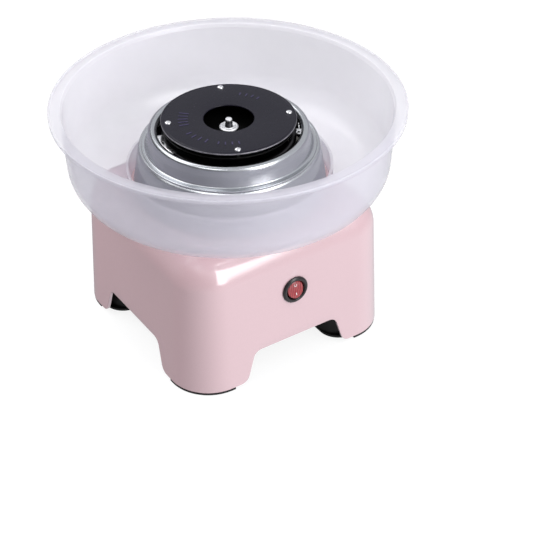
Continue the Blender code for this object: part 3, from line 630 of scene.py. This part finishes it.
def casing_skin():
    """The casing's outer surface: four feet that join above the arches, and a round top edge."""
    rows = []
    for inner, height in arch_edge():
        rows.append((wall_half(height), inner, height))
    arch_rows = len(rows) - 1
    inner = rows[-1][1]
    for step in range(1, 11):
        height = ARCH_TOP + (FILLET_START - ARCH_TOP) * step / 10.0
        rows.append((wall_half(height), inner, height))
    top_half = wall_half(FILLET_START)
    for step in range(1, 17):
        angle = math.pi / 2.0 * step / 16.0
        half = top_half - FILLET_RADIUS * (1.0 - math.cos(angle))
        rows.append((half, inner, FILLET_START + FILLET_RADIUS * math.sin(angle)))
    form = bmesh.new()
    layers = []
    flat_steps = 12
    for half, inner, height in rows:
        strip = foot_strip(half, inner)
        flat = [(inner - 2.0 * inner * step / flat_steps, half) for step in range(1, flat_steps)]
        layer = []
        for quarter in range(4):
            turn = Matrix.Rotation(math.pi / 2.0 * quarter, 2)
            layer.append([form.verts.new((*(turn @ Vector(point)), height)) for point in strip])
            if len(layers) >= arch_rows:
                layer.append([form.verts.new((*(turn @ Vector(point)), height)) for point in flat])
        layers.append(layer)
    for index in range(len(layers) - 1):
        lower, upper = layers[index], layers[index + 1]
        if index < arch_rows:
            pairs = zip(lower, upper if index + 1 < arch_rows else upper[::2])
        else:
            pairs = [(sum(lower, []) + lower[0][:1], sum(upper, []) + upper[0][:1])]
        for below, above in pairs:
            for step in range(len(below) - 1):
                form.faces.new((below[step], below[step + 1], above[step + 1], above[step]))
    outer = sum(layers[-1], [])
    for share in (0.35, 0.7, 1.0):
        ring = []
        for vertex in sum(layers[-1], []):
            flat = Vector((vertex.co.x, vertex.co.y))
            spot = flat.lerp(flat.normalized() * 0.060, share)
            ring.append(form.verts.new((*spot, vertex.co.z)))
        band(form, outer, ring)
        outer = ring
    return form


def make_casing():
    casing = new_object("casing", casing_skin(), "pearl_pink")
    wall = casing.modifiers.new("wall", "SOLIDIFY")
    wall.thickness = SHELL_WALL
    wall.offset = -1.0
    wall.use_even_offset = True
    apply_modifiers(casing)
    bevel(casing, 0.0006, 3, 50.0)
    top = SHELL_HIGH.z
    turret = [(0.055, 0.1225), (TURRET_RADIUS - SHELL_WALL, 0.1225), (TURRET_RADIUS - SHELL_WALL, 0.112)]
    turret += [(TURRET_RADIUS, 0.112), (TURRET_RADIUS, top, 0.0012), (0.055, top)]
    join(casing, turned(rounded(turret), FINE))
    cut(casing, plug(TOP_HOLE_RADIUS, 0.10, 0.14, FINE))
    upright = rotation(90.0, "X")
    for radius, side, height in ((SWITCH_HOLE_RADIUS, -1.0, SWITCH_HEIGHT),
                                 (GLAND_HOLE_RADIUS, 1.0, GLAND_HEIGHT)):
        hole = moved(plug(radius, -0.02, 0.02, 48), upright)
        cut(casing, at(hole, 0.0, side * wall_half(height), height))
    place(casing, "base", "base_shell")


def foot_outline(half, inset):
    """One foot seen from above: the casing's round corner, closed by two inner walls."""
    inner = FOOT_INNER + inset
    end = FOOT_END_RADIUS - inset
    turn = FOOT_INNER_RADIUS - inset
    step = inner + end + FOOT_STEP_EDGE + inset
    behind = half - FOOT_STEP
    outline = arc((STRAIGHT_HALF, STRAIGHT_HALF), half - STRAIGHT_HALF, 0.0, 90.0, 12)
    outline += [(step, half), (step, behind)]
    outline += arc((inner + end, behind - end), end, 90.0, 180.0, 12)
    outline += arc((inner + turn, inner + turn), turn, 180.0, 270.0, 12)
    outline += arc((behind - end, inner + end), end, 270.0, 360.0, 12)
    outline += [(behind, step), (half, step)]
    return outline


def turned_outline(outline, quarter):
    turn = Matrix.Rotation(math.pi / 2.0 * quarter, 2)
    return [tuple(turn @ Vector(point)) for point in outline]


def make_bottom_cover():
    plate_half = wall_half(COVER_PLATE_BOTTOM) - SHELL_WALL - 0.0006
    sole_half = wall_half(SOLE_TOP) - GAP
    plate = []
    for quarter in range(4):
        corner = arc((STRAIGHT_HALF, STRAIGHT_HALF), plate_half - STRAIGHT_HALF, 0.0, 90.0, 12)
        plate += turned_outline(corner, quarter)
    cover = new_object("foot_cover", loft([(plate, COVER_PLATE_BOTTOM), (plate, COVER_PLATE_TOP)]),
                       "black_plastic")
    for quarter in range(4):
        cup = turned_outline(foot_outline(plate_half, GAP), quarter)
        join(cover, loft([(cup, SOLE_TOP - 0.0005), (cup, FOOT_CUP_TOP)]))
        sole = turned_outline(foot_outline(sole_half, 0.0), quarter)
        join(cover, loft([(sole, SOLE_BOTTOM), (sole, SOLE_TOP)]))
        room = turned_outline(foot_outline(plate_half - FOOT_WALL, FOOT_WALL), quarter)
        cut(cover, loft([(room, FOOT_FLOOR_TOP), (room, 0.05)]))
    for x, y in quarter_turns(*COVER_SCREW_SPOT):
        cut(cover, at(plug(0.0037, 0.0, 0.0026), x, y))
        cut(cover, at(plug(0.0018, 0.0, 0.01), x, y))
    for x, y in quarter_turns(*FOOT_PAD_SPOT):
        cut(cover, at(plug(0.0078, 0.0, 0.0018), x, y))
    for row in range(-3, 4):
        cut(cover, at(slab((0.040, 0.003, 0.02), 0.0014), 0.0, row * 0.008, COVER_PLATE_TOP))
    bevel(cover, 0.00025, 2, 50.0)
    place(cover, "base", "bottom_cover")


def make_feet():
    for number, (x, y) in enumerate(quarter_turns(*FOOT_PAD_SPOT), start=1):
        outline = [(0.0, 0.0003), (0.0035, 0.0003), (0.0040, 0.0), (0.0075, 0.0, 0.0006)]
        outline += [(0.0075, 0.0015), (0.0, 0.0015)]
        pad = lathe(f"foot_pad_{number}", outline, "rubber", 48, x=x, y=y)
        place(pad, "base", f"rubber_foot_{number}")
    for number, (x, y) in enumerate(quarter_turns(*COVER_SCREW_SPOT), start=1):
        outline = [(0.0, 0.0010), (0.0032, 0.0010, 0.0005), (0.0032, 0.0023), (0.0015, 0.0023)]
        outline += [(0.0015, 0.018), (0.0, 0.018)]
        head = lathe(f"foot_screw_{number}", outline, "steel", COARSE, x=x, y=y)
        for turn in (0.0, 90.0):
            slot = moved(slab((0.0036, 0.0007, 0.0012)), rotation(turn, "Z"))
            cut(head, at(slot, x, y, 0.0012))
        place(head, "base", f"cover_screw_{number}")


# ------------ bowl

def make_bowl():
    floor = BOWL_LOW.z
    hub = (BOWL_HIP_RADIUS - BOWL_ROUND, BOWL_HIP_HEIGHT)
    lip = RIM_TOP - RIM_DROP
    outline = [(COLLAR_RADIUS - BOWL_WALL, COLLAR_TOP, 0.0005), (COLLAR_RADIUS - BOWL_WALL, floor, 0.0008)]
    outline += arc(hub, BOWL_ROUND, -84.0, 0.0, 20)
    outline += [(BOWL_NECK_RADIUS - 0.0002, RIM_TOP - 0.0017, 0.0016)]
    outline += [(RIM_RADIUS - 0.0018, RIM_TOP - 0.0017, 0.0005)]
    outline += [(RIM_RADIUS - 0.0016, lip, 0.0003), (RIM_RADIUS, lip, 0.0005), (RIM_RADIUS, RIM_TOP, 0.0007)]
    outline += [(RIM_RADIUS - 0.0014, RIM_TOP, 0.0006), (RIM_RADIUS - 0.0020, RIM_TOP - 0.0003, 0.0006)]
    outline += [(BOWL_NECK_RADIUS - 0.0012, RIM_TOP - 0.0003, 0.0010)]
    outline += [(BOWL_NECK_RADIUS - BOWL_WALL - 0.0002, RIM_TOP - 0.004, 0.002)]
    outline += arc(hub, BOWL_ROUND - BOWL_WALL, 0.0, -84.0, 20)
    outline += [(COLLAR_RADIUS, floor + BOWL_WALL, 0.0014), (COLLAR_RADIUS, COLLAR_TOP, 0.0008)]
    bowl = lathe("see_through_bowl", outline, "frosted_bowl", 256)
    for quarter in range(4):
        lug = [(COLLAR_RADIUS - 0.0006, floor + 0.001), (COLLAR_RADIUS + 0.0045, floor + 0.001)]
        lug += [(COLLAR_RADIUS + 0.0045, floor + 0.0034), (COLLAR_RADIUS - 0.0006, floor + 0.010)]
        gusset = moved(loft([(lug, -0.0007), (lug, 0.0007)]), rotation(90.0, "X"))
        join(bowl, moved(gusset, Matrix.Rotation(LUG_TURN + math.pi / 2.0 * quarter, 4, "Z")))
    bowl.visible_shadow = False  # its milky wall passes on nearly all the light that it spreads
    place(bowl, "bowl", "bowl")


# ------------ guard

def cut_screw_holes(item):
    for turn in GUARD_SCREW_TURNS:
        cut(item, at(plug(0.0018, 0.12, 0.135), *polar(GUARD_SCREW_CIRCLE, math.radians(turn))))


def make_guard():
    low = DRUM_LOW.z
    foot = DRUM_HIGH.x
    top = DRUM_HIGH.z
    drum = [(0.0705, low), (foot, low, 0.0004), (foot, low + 0.002, 0.001)]
    drum += [(DRUM_TOP_RADIUS + 0.0004, top - 0.0016, 0.0016), (DRUM_TOP_RADIUS - 0.0014, top, 0.0012)]
    drum += [(WAIST_RADIUS - 0.002, top), (WAIST_RADIUS - 0.002, top - SHEET)]
    drum += [(DRUM_TOP_RADIUS - 0.0018, top - SHEET, 0.0006)]
    drum += [(DRUM_TOP_RADIUS - 0.0008, top - 0.0022, 0.0006)]
    drum += [(foot - SHEET, low + 0.0022), (foot - SHEET, low + SHEET), (0.0705, low + SHEET)]
    item = lathe("spun_drum", drum, "aluminium")
    cut_screw_holes(item)
    place(item, "base", "guard_drum")

    low = RING_LOW.z
    roll = (LIP_RADIUS + 0.0030, RING_HIGH.z - LIP_ROLL)
    ring = [(WAIST_RADIUS - SHEET, low), (DRUM_TOP_RADIUS - 0.0004, low, 0.0005)]
    ring += [(DRUM_TOP_RADIUS - 0.0004, low + 0.0014, 0.0006)]
    ring += [(DRUM_TOP_RADIUS - 0.0022, low + 0.0014, 0.0007)]
    ring += [(DRUM_TOP_RADIUS - 0.0028, low + SHEET, 0.0004), (WAIST_RADIUS + 0.0004, low + SHEET, 0.0018)]
    ring += [(0.0656, roll[1] - 0.0036, 0.0020)]
    ring += arc(roll, LIP_ROLL, 5.0, 172.0, 18)
    ring += [(LIP_RADIUS, LIP_SKIRT, 0.0003), (LIP_RADIUS + SHEET, LIP_SKIRT, 0.0003)]
    ring += arc(roll, LIP_ROLL - SHEET, 165.0, 10.0, 12)
    ring += [(0.0645, roll[1] - 0.0038, 0.001)]
    item = lathe("spun_ring", ring, "aluminium")
    place(item, "base", "guard_ring")


def make_shield():
    low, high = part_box("heat_shield_plate")
    outline = [(0.006, low.z), (high.x, low.z, 0.0002), (high.x, high.z, 0.0003), (0.062, high.z, 0.002)]
    outline += [(0.060, high.z - 0.0002, 0.002), (0.006, high.z - 0.0002)]
    item = lathe("heat_shield", outline, "steel_painted_gap_shade", MEDIUM)
    cut_screw_holes(item)
    place(item, "base", "heat_shield_plate")


# ------------ spinning head

def make_disc():
    low, top = DISC_LOW.z, DISC_HIGH.z
    edge = DISC_HIGH.x
    outline = [(SUGAR_HOLE_RADIUS, low, 0.0003), (edge, low, 0.0003), (edge, top - 0.0001, 0.0004)]
    outline += [(edge - 0.0007, top - 0.0001, 0.0003), (edge - 0.0011, top - 0.0003, 0.0004)]
    outline += [(edge - 0.0018, top - 0.0003, 0.0004), (edge - 0.0024, top - 0.0001, 0.0004)]
    outline += [(SUGAR_HOLE_RADIUS, top - 0.0001, 0.0007)]
    disc = lathe("top_disc", outline, "black_coating", FINE, 4)
    groups = ((136.0, 0.0365, 5, 7.0, 0.0080), (184.0, 0.0385, 4, 9.0, 0.0055),
              (226.0, 0.0385, 4, 8.0, 0.0040), (20.0, 0.0385, 4, 8.0, 0.0040))
    for start, radius, count, step, length in groups:
        for number in range(count):
            turn = rotation(start + number * step, "Z")
            bar = slab((length, 0.0010, 0.0007), 0.00045)
            join(disc, moved(bar, turn @ Matrix.Translation((radius, 0.0, top - 0.0002))))
    cut_rivet_holes(disc)
    place(disc, "head", "extractor_disc")


def rivet_spot(number):
    return polar(RIVET_CIRCLE, HEAD_TURN + math.pi / 2.0 * number)


def cut_rivet_holes(item):
    for number in range(4):
        cut(item, at(plug(RIVET_RADIUS + GAP, 0.178, 0.19), *rivet_spot(number)))


def make_rivets():
    top = DISC_HIGH.z
    for number in range(4):
        x, y = rivet_spot(number)
        outline = [(0.0, PAN_FLANGE - 0.0013), (0.0020, PAN_FLANGE - 0.0012, 0.0006)]
        outline += [(0.0026, PAN_FLANGE - GAP)]
        outline += [(RIVET_RADIUS, PAN_FLANGE - GAP), (RIVET_RADIUS, top + 0.0001)]
        outline += [(0.0027, top + 0.0001), (0.0025, top + 0.0009, 0.0008), (0.0012, top + 0.0014, 0.0010)]
        outline += [(0.0, top + 0.0014)]
        rivet = lathe(f"rivet_{number + 1}", outline, "bright_steel", COARSE, x=x, y=y)
        place(rivet, "head", f"disc_rivet_{number + 1}")


def make_pan():
    flange = PAN_FLANGE
    high = flange + DISC_SHEET
    bore = SHAFT_RADIUS + GAP
    pan = [(bore, PAN_FLOOR), (0.040, PAN_FLOOR, 0.002), (0.0452, 0.1765, 0.002), (0.0462, flange, 0.0008)]
    pan += [(0.0528, flange, 0.0003), (0.0528, high, 0.0005), (0.0452, high, 0.0008)]
    pan += [(0.0441, 0.1769, 0.002), (0.0395, PAN_FLOOR + DISC_SHEET, 0.002), (bore, PAN_FLOOR + DISC_SHEET)]
    item = lathe("sugar_cup", pan, "pan_coating_with_painted_shade", MEDIUM)
    cut_rivet_holes(item)
    place(item, "head", "sugar_pan")


def make_screen():
    """The pierced band between pan and disc: a row of upright slots all the way round."""
    low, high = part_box("mesh_band")
    columns = 240
    heights = [low.z, low.z + 0.0005, high.z - 0.0005, high.z]
    form = bmesh.new()
    grid = [circle(form, BAND_RADIUS, height, columns) for height in heights]
    for row in range(3):
        for step in range(columns):
            if row == 1 and step % 3:
                continue
            after = (step + 1) % columns
            lower, upper = grid[row], grid[row + 1]
            form.faces.new((lower[step], lower[after], upper[after], upper[step]))
    item = new_object("pierced_band", form, "turned_steel")
    wall = item.modifiers.new("wall", "SOLIDIFY")
    wall.thickness = 0.0009
    wall.offset = -1.0
    apply_modifiers(item)
    place(item, "head", "mesh_band")


def make_hub():
    low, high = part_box("drive_hub")
    bore = SHAFT_RADIUS + GAP
    outline = [(bore, low.z), (0.0065, low.z, 0.0005), (0.0065, 0.1665, 0.001), (0.012, 0.1690, 0.0006)]
    outline += [(0.012, high.z, 0.0004), (bore, high.z)]
    hub = lathe("hub", outline, "turned_steel", MEDIUM)
    cut(hub, moved(plug(0.0013, 0.0, 0.012, 20), Matrix.Translation((0.0, 0.0, 0.162)) @
                   rotation(90.0, "Y")))
    place(hub, "head", "drive_hub")


def make_nut():
    """A hexagon nut under a wide round head, whose dished face catches the light."""
    low, high = NUT_LOW.z, NUT_HIGH.z
    edge = NUT_HIGH.x - 0.0002
    under = high - 0.0022
    across = 0.0062
    bore = SHAFT_RADIUS + GAP
    hexagon = [polar(across, math.radians(60.0 * number)) for number in range(6)]
    nut = new_object("flange_nut", loft([(hexagon, low), (hexagon, under + 0.0006)]), "nut_steel")
    cut(nut, plug(bore, 0.16, 0.19, 48))
    head = [(bore, under), (edge - 0.0006, under, 0.0003), (edge, under + 0.0006, 0.0004)]
    head += [(edge, high - 0.0008, 0.0006), (edge - 0.0010, high, 0.0004), (0.0058, high - 0.0001, 0.0005)]
    head += [(0.0050, high - 0.0008, 0.0005), (0.0044, high - 0.0008, 0.0004)]
    head += [(0.0040, high - 0.0003, 0.0003)]
    join(nut, turned(rounded(head + [(bore, high - 0.0003)]), 64))
    for number in range(3):
        turn = rotation(35.0 + 120.0 * number, "Z")
        notch = slab((0.0012, 0.0022, 0.0016), 0.0004)
        cut(nut, moved(notch, turn @ Matrix.Translation((0.0056, 0.0, high))))
    bevel(nut, 0.0001, 2, 40.0)
    place(nut, "head", "lock_nut")


def make_shaft():
    """The motor's shaft: a screw thread where the nut holds it, painted near-black as painted shade for the
    sugar hole, and a bright turned tip.
    """
    top = SHAFT_HIGH.z
    tip = top - 0.0016
    outline = [(0.0, SHAFT_LOW.z), (SHAFT_RADIUS, SHAFT_LOW.z, 0.0004)]
    height = PAN_FLOOR
    while height < tip - 0.0012:
        outline += [(SHAFT_RADIUS, height), (SHAFT_RADIUS - 0.00035, height + 0.0004)]
        height += 0.0008
    outline += [(SHAFT_RADIUS - 0.0003, tip), (0.0, tip)]
    shaft = lathe("threaded_shaft", outline, "thread_steel_painted_shade", 48)
    place(shaft, "head", "motor_shaft")
    outline = [(0.0, tip), (SHAFT_RADIUS - 0.0002, tip), (SHAFT_RADIUS - 0.0002, top, 0.0006)]
    outline += [(0.0008, top), (0.0, top - 0.0006)]
    cap = lathe("shaft_tip", outline, "nut_steel", 48)
    place(cap, "head")


# ------------ heater

def make_heater():
    tube = arc((HEATER_CIRCLE, HEATER_HEIGHT), HEATER_TUBE, 0.0, 345.0, 23)
    ring = new_object("heating_tube", turned(tube, 128), "steel_painted_gap_shade")
    place(ring, "base", "heater_ring")
    for number in (1, 2, 3):
        low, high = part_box(f"heater_post_{number}")
        x, y = (low.x + high.x) / 2.0, (low.y + high.y) / 2.0
        outline = [(0.0, low.z), (0.0055, low.z, 0.0004), (0.0055, 0.134, 0.001), (0.0038, 0.1365, 0.001)]
        for rib in range(7):
            base = 0.1395 + rib * 0.0038
            outline += [(0.0038, base, 0.0003), (0.0045, base + 0.0008, 0.0004)]
            outline += [(0.0045, base + 0.0016, 0.0004), (0.0038, base + 0.0024, 0.0003)]
        outline += [(0.0048, high.z - 0.0015, 0.0006), (0.0048, high.z, 0.0004), (0.0, high.z)]
        post = lathe(f"insulator_{number}", outline, "ceramic", COARSE, 3, x, y)
        place(post, "base", f"heater_post_{number}")


def ring_sector(inner, outer, start, end, low, high):
    """A flat piece of a ring between two angles in degrees."""
    outline = arc((0.0, 0.0), outer, start, end, 12) + arc((0.0, 0.0), inner, end, start, 12)
    return loft([(outline, low), (outline, high)])


def make_clips():
    """Bent metal straps under the guard's lip, which hold the heating tube."""
    skirt = LIP_RADIUS - 0.0004
    for number, (start, end) in enumerate(((158.0, 188.0), (-43.0, -35.0)), start=1):
        clip = new_object(f"heater_clip_{number}", ring_sector(0.0535, skirt, start, end, 0.1768, 0.1776),
                          "bright_steel")
        join(clip, ring_sector(skirt - 0.0010, skirt, start, end, 0.1742, 0.1772))
        turn = Matrix.Rotation(math.radians(start + 0.4 * (end - start)), 4, "Z")
        cut(clip, moved(slab((0.0020, 0.0028, 0.004)), turn @ Matrix.Translation((0.0560, 0.0, 0.1772))))
        bevel(clip, 0.0001, 2, 50.0)
        place(clip, "base")
    for number, lean in enumerate((-26.0, 26.0), start=1):
        turn = rotation(-30.0, "Z")
        spot = Matrix.Translation((0.0558, 0.0028 * (1.0 if lean > 0.0 else -1.0), 0.1756))
        turn = turn @ spot @ rotation(lean, "X")
        strip = moved(slab((0.0008, 0.0014, 0.0070), 0.0003), turn)
        tag = new_object(f"heater_tag_{number}", strip, "bright_steel")
        bevel(tag, 0.0001, 2, 50.0)
        place(tag, "base")


# ------------ switch and inlet

def wall_frame(side, height):
    """A frame whose Z points straight out of the front (-1) or rear (+1) wall."""
    turn = Matrix.Rotation(-side * (math.radians(90.0) - WALL_LEAN), 4, "X")
    return Matrix.Translation((0.0, side * wall_half(height), height)) @ turn


def make_switch():
    well = SWITCH_WELL_RADIUS
    outline = [(0.0, -0.020), (0.0098, -0.020, 0.0006), (0.0098, GAP), (BEZEL_RADIUS, GAP)]
    outline += [(BEZEL_RADIUS, GAP + 0.0009, 0.0006), (BEZEL_RADIUS - 0.0013, 0.0023, 0.0009)]
    outline += [(well + 0.0009, 0.0023, 0.0007), (well, 0.0009, 0.0006), (well, -0.0085), (0.0, -0.0085)]
    shape = moved(turned(rounded(outline), MEDIUM), wall_frame(-1.0, SWITCH_HEIGHT))
    housing = new_object("switch_bezel", shape, "bezel_plastic")
    place(housing, "base", "switch_housing")

    axis = Matrix.Translation(Vector(JOINTS["rocker_tilt"]["pos_m"]))
    tilt = Matrix.Rotation(math.radians(90.0) - WALL_LEAN + ROCKER_TILT, 4, "X")
    rocker = new_object("rocker_lens", rocker_mesh(), "red_rocker", 50.0)
    rocker.matrix_world = axis @ tilt
    place(rocker, "rocker", "switch_rocker")
    ring = turned(arc((0.00115, 0.0), 0.00022, 0.0, 330.0, 11), COARSE)
    bar = slab((0.0005, 0.0024, 0.0003), 0.0002)
    for name, shape, y in (("mark_off", ring, 0.0040), ("mark_on", bar, -0.0040)):
        mark = new_object(name, at(shape, 0.0, y, rocker_face(y)), "white_mark")
        mark.matrix_world = axis @ tilt
        place(mark, "rocker")


def rocker_face(y):
    """Height of the rocker's hollow face above its axis."""
    return 0.0038 - ROCKER_DISH * (1.0 - (y / ROCKER_RADIUS) ** 2)


def rocker_mesh():
    steps = 16
    sides = 64
    form = bmesh.new()
    rings = []
    spots = [2.0 * math.pi * side / sides for side in range(sides)]
    for step in range(1, steps + 1):
        share = step / steps
        drop = 0.0006 * max(0.0, (share - 0.9) / 0.1) ** 2
        points = [polar(ROCKER_RADIUS * share, angle) for angle in spots]
        rings.append([form.verts.new((x, y, rocker_face(y) - drop)) for x, y in points])
    for height, squeeze in ((0.0, 1.0), (-0.0038, 0.80)):
        points = [polar(ROCKER_RADIUS, angle) for angle in spots]
        rings.append([form.verts.new((x, y * squeeze, height)) for x, y in points])
    for inner, outer in zip(rings, rings[1:]):
        band(form, inner, outer)
    middle = form.verts.new((0.0, 0.0, rocker_face(0.0)))
    for side in range(sides):
        form.faces.new((middle, rings[0][(side + 1) % sides], rings[0][side]))
    form.faces.new(rings[-1])
    return form


def make_inlet():
    outline = [(0.0036, -0.010), (0.0069, -0.010, 0.0004), (0.0069, GAP), (0.0095, GAP, 0.0002)]
    outline += [(0.0095, 0.0016, 0.0008), (0.0070, 0.0022, 0.0006)]
    outline += [(0.0062, 0.0048, 0.0008), (0.0036, 0.0048, 0.0008)]
    shape = moved(turned(rounded(outline), 64), wall_frame(1.0, GLAND_HEIGHT))
    gland = new_object("cord_inlet", shape, "black_plastic")
    place(gland, "base", "cord_gland")


# ------------ pieces kept from the CAD model

FINISHES = {
    "guard_screw": "steel", "motor_deck": "zinc", "deck_grommet": "rubber", "motor_screw": "steel",
    "motor_can": "zinc", "motor_end_cap": "black_plastic", "upper_bearing": "turned_steel",
    "lower_bearing": "turned_steel", "armature": "laminations", "commutator": "copper",
    "motor_magnet": "ferrite", "cooling_fan": "black_plastic", "switch_terminal": "brass",
    "terminal_block": "terminal_plastic", "rectifier_board": "circuit_board", "thermal_cutout": "steel",
    "mains_wire": "lead_brown", "switch_wire": "lead_red", "motor_wire": "lead_blue",
    "heater_wire": "lead_white",
}


def finish_cad_nodes():
    for node, item in frame["nodes"].items():
        if item.hide_render:
            continue
        item.data.materials.clear()
        item.data.materials.append(MATERIALS[FINISHES[node.rstrip("_0123456789")]])


# ------------ studio

CAMERA_AZIMUTH = math.radians(-33.76)
CAMERA_ELEVATION = math.radians(36.98)
CAMERA_DISTANCE = 1.3148
CAMERA_RIGHT = 0.0408  # the camera stands beside the object's axis by this much
CAMERA_UP = 0.0203
LENS = 97.2
BACKDROP_RADIUS = 12.0
KEY_POWER = 30.0
CEILING = 0.78
WALL_DARK = 0.09
WALL_LIGHT = 0.48
GROUND = 2.4  # how much brighter than the walls the ground is
WALL_SIDE = -1.6  # the walls brighten with X plus this much of Y
CEILING_SIDE = 0.35  # the ceiling reaches lower where X is large
AIM_HEIGHT = 0.12  # the lights point here on the machine's axis


def make_camera():
    sin_a, cos_a = math.sin(CAMERA_AZIMUTH), math.cos(CAMERA_AZIMUTH)
    sin_e, cos_e = math.sin(CAMERA_ELEVATION), math.cos(CAMERA_ELEVATION)
    back = Vector((sin_a * cos_e, -cos_a * cos_e, sin_e))
    right = Vector((cos_a, sin_a, 0.0))
    up = back.cross(right)
    camera = bpy.data.objects.new("camera", bpy.data.cameras.new("camera"))
    camera.data.lens = LENS
    camera.data.clip_start = 0.05
    camera.data.clip_end = 50.0
    turn = Matrix((right, up, back)).transposed().to_4x4()
    spot = back * CAMERA_DISTANCE + right * CAMERA_RIGHT + up * CAMERA_UP
    camera.matrix_world = Matrix.Translation(spot) @ turn
    bpy.context.scene.collection.objects.link(camera)
    bpy.context.scene.camera = camera


def softbox(name, azimuth, elevation, distance, size, power, roll=0.0, glossy=True):
    """A soft light aimed at the machine; azimuth 0 is in front of the switch, and 90 is at +X."""
    light = bpy.data.lights.new(name, "AREA")
    light.shape = "RECTANGLE"
    light.size, light.size_y = size
    light.energy = power
    item = bpy.data.objects.new(name, light)
    turn, rise = math.radians(azimuth), math.radians(elevation)
    away = Vector((math.sin(turn) * math.cos(rise), -math.cos(turn) * math.cos(rise), math.sin(rise)))
    item.location = away * distance + Vector((0.0, 0.0, AIM_HEIGHT))
    item.rotation_mode = "QUATERNION"
    spin = Quaternion((0.0, 0.0, 1.0), math.radians(roll))
    item.rotation_quaternion = (-away).to_track_quat("-Z", "Y") @ spin
    item.visible_glossy = glossy
    bpy.context.scene.collection.objects.link(item)


def make_sky():
    """A white ceiling, dim walls that are darker towards +Y and -X, and a paler ground."""
    world = bpy.data.worlds.new("studio")
    sky = Nodes(world)
    direction = sky.node("ShaderNodeTexCoord").outputs["Generated"]
    split = sky.node("ShaderNodeSeparateXYZ", {"Vector": direction}).outputs
    side = sky.maths("MULTIPLY_ADD", split["Y"], WALL_SIDE, split["X"])
    lean = sky.maths("MULTIPLY_ADD", split["X"], CEILING_SIDE, split["Z"])
    walls = sky.spread(side, WALL_DARK, WALL_LIGHT, -1.6, 1.6)
    ground = sky.spread(split["Z"], GROUND, 1.0, -0.45, 0.05)
    ceiling = sky.node("ShaderNodeMapRange",
                       {"Value": lean, "From Min": 0.30, "From Max": 0.62,
                        "To Min": sky.maths("MULTIPLY", walls, ground), "To Max": CEILING},
                       interpolation_type="SMOOTHSTEP")
    background = sky.tree.nodes["Background"]
    background.inputs["Color"].default_value = (0.95, 0.965, 1.0, 1.0)
    sky.tree.links.new(ceiling.outputs["Result"], background.inputs["Strength"])
    bpy.context.scene.world = world


def make_studio():
    form = bmesh.new()
    bmesh.ops.create_grid(form, x_segments=1, y_segments=1, size=30.0)
    paper = Surface("paper", Roughness=0.9, Emission_Color=(1.0, 1.0, 1.0, 1.0), Emission_Strength=0.86)
    tone = paper.spread(paper.noise(4.0, 3.0), 0.0, 1.0)
    paper.link(paper.mix(tone, (0.155, 0.155, 0.157), (0.17, 0.17, 0.172)), "Base Color")
    MATERIALS["paper"] = paper.material
    floor = new_object("floor", form, "paper")
    form = bmesh.new()
    bmesh.ops.create_uvsphere(form, u_segments=48, v_segments=24, radius=BACKDROP_RADIUS)
    backdrop = new_object("backdrop", form, "paper")
    backdrop.visible_shadow = False
    backdrop.visible_transmission = False
    for paper_sheet in (floor, backdrop):
        paper_sheet.visible_diffuse = False
        paper_sheet.visible_glossy = False
    make_sky()
    softbox("key", 16.0, 30.0, 1.8, (0.85, 2.4), KEY_POWER, -15.0)
    softbox("rear_top", -155.0, 54.0, 2.2, (2.2, 0.9), 14.0)
    softbox("left_top", -70.0, 61.0, 2.0, (0.8, 0.35), 3.5)
    softbox("left_fill", -135.0, 14.0, 1.2, (1.0, 0.8), 10.5, glossy=False)
    bpy.context.scene.view_settings.view_transform = "Standard"


def main():
    make_materials()
    make_camera()
    make_studio()
    for make in (make_casing, make_bottom_cover, make_feet, make_bowl, make_guard, make_shield, make_disc,
                 make_rivets, make_pan, make_screen, make_hub, make_nut, make_shaft, make_heater,
                 make_clips, make_switch, make_inlet, finish_cad_nodes):
        make()


main()
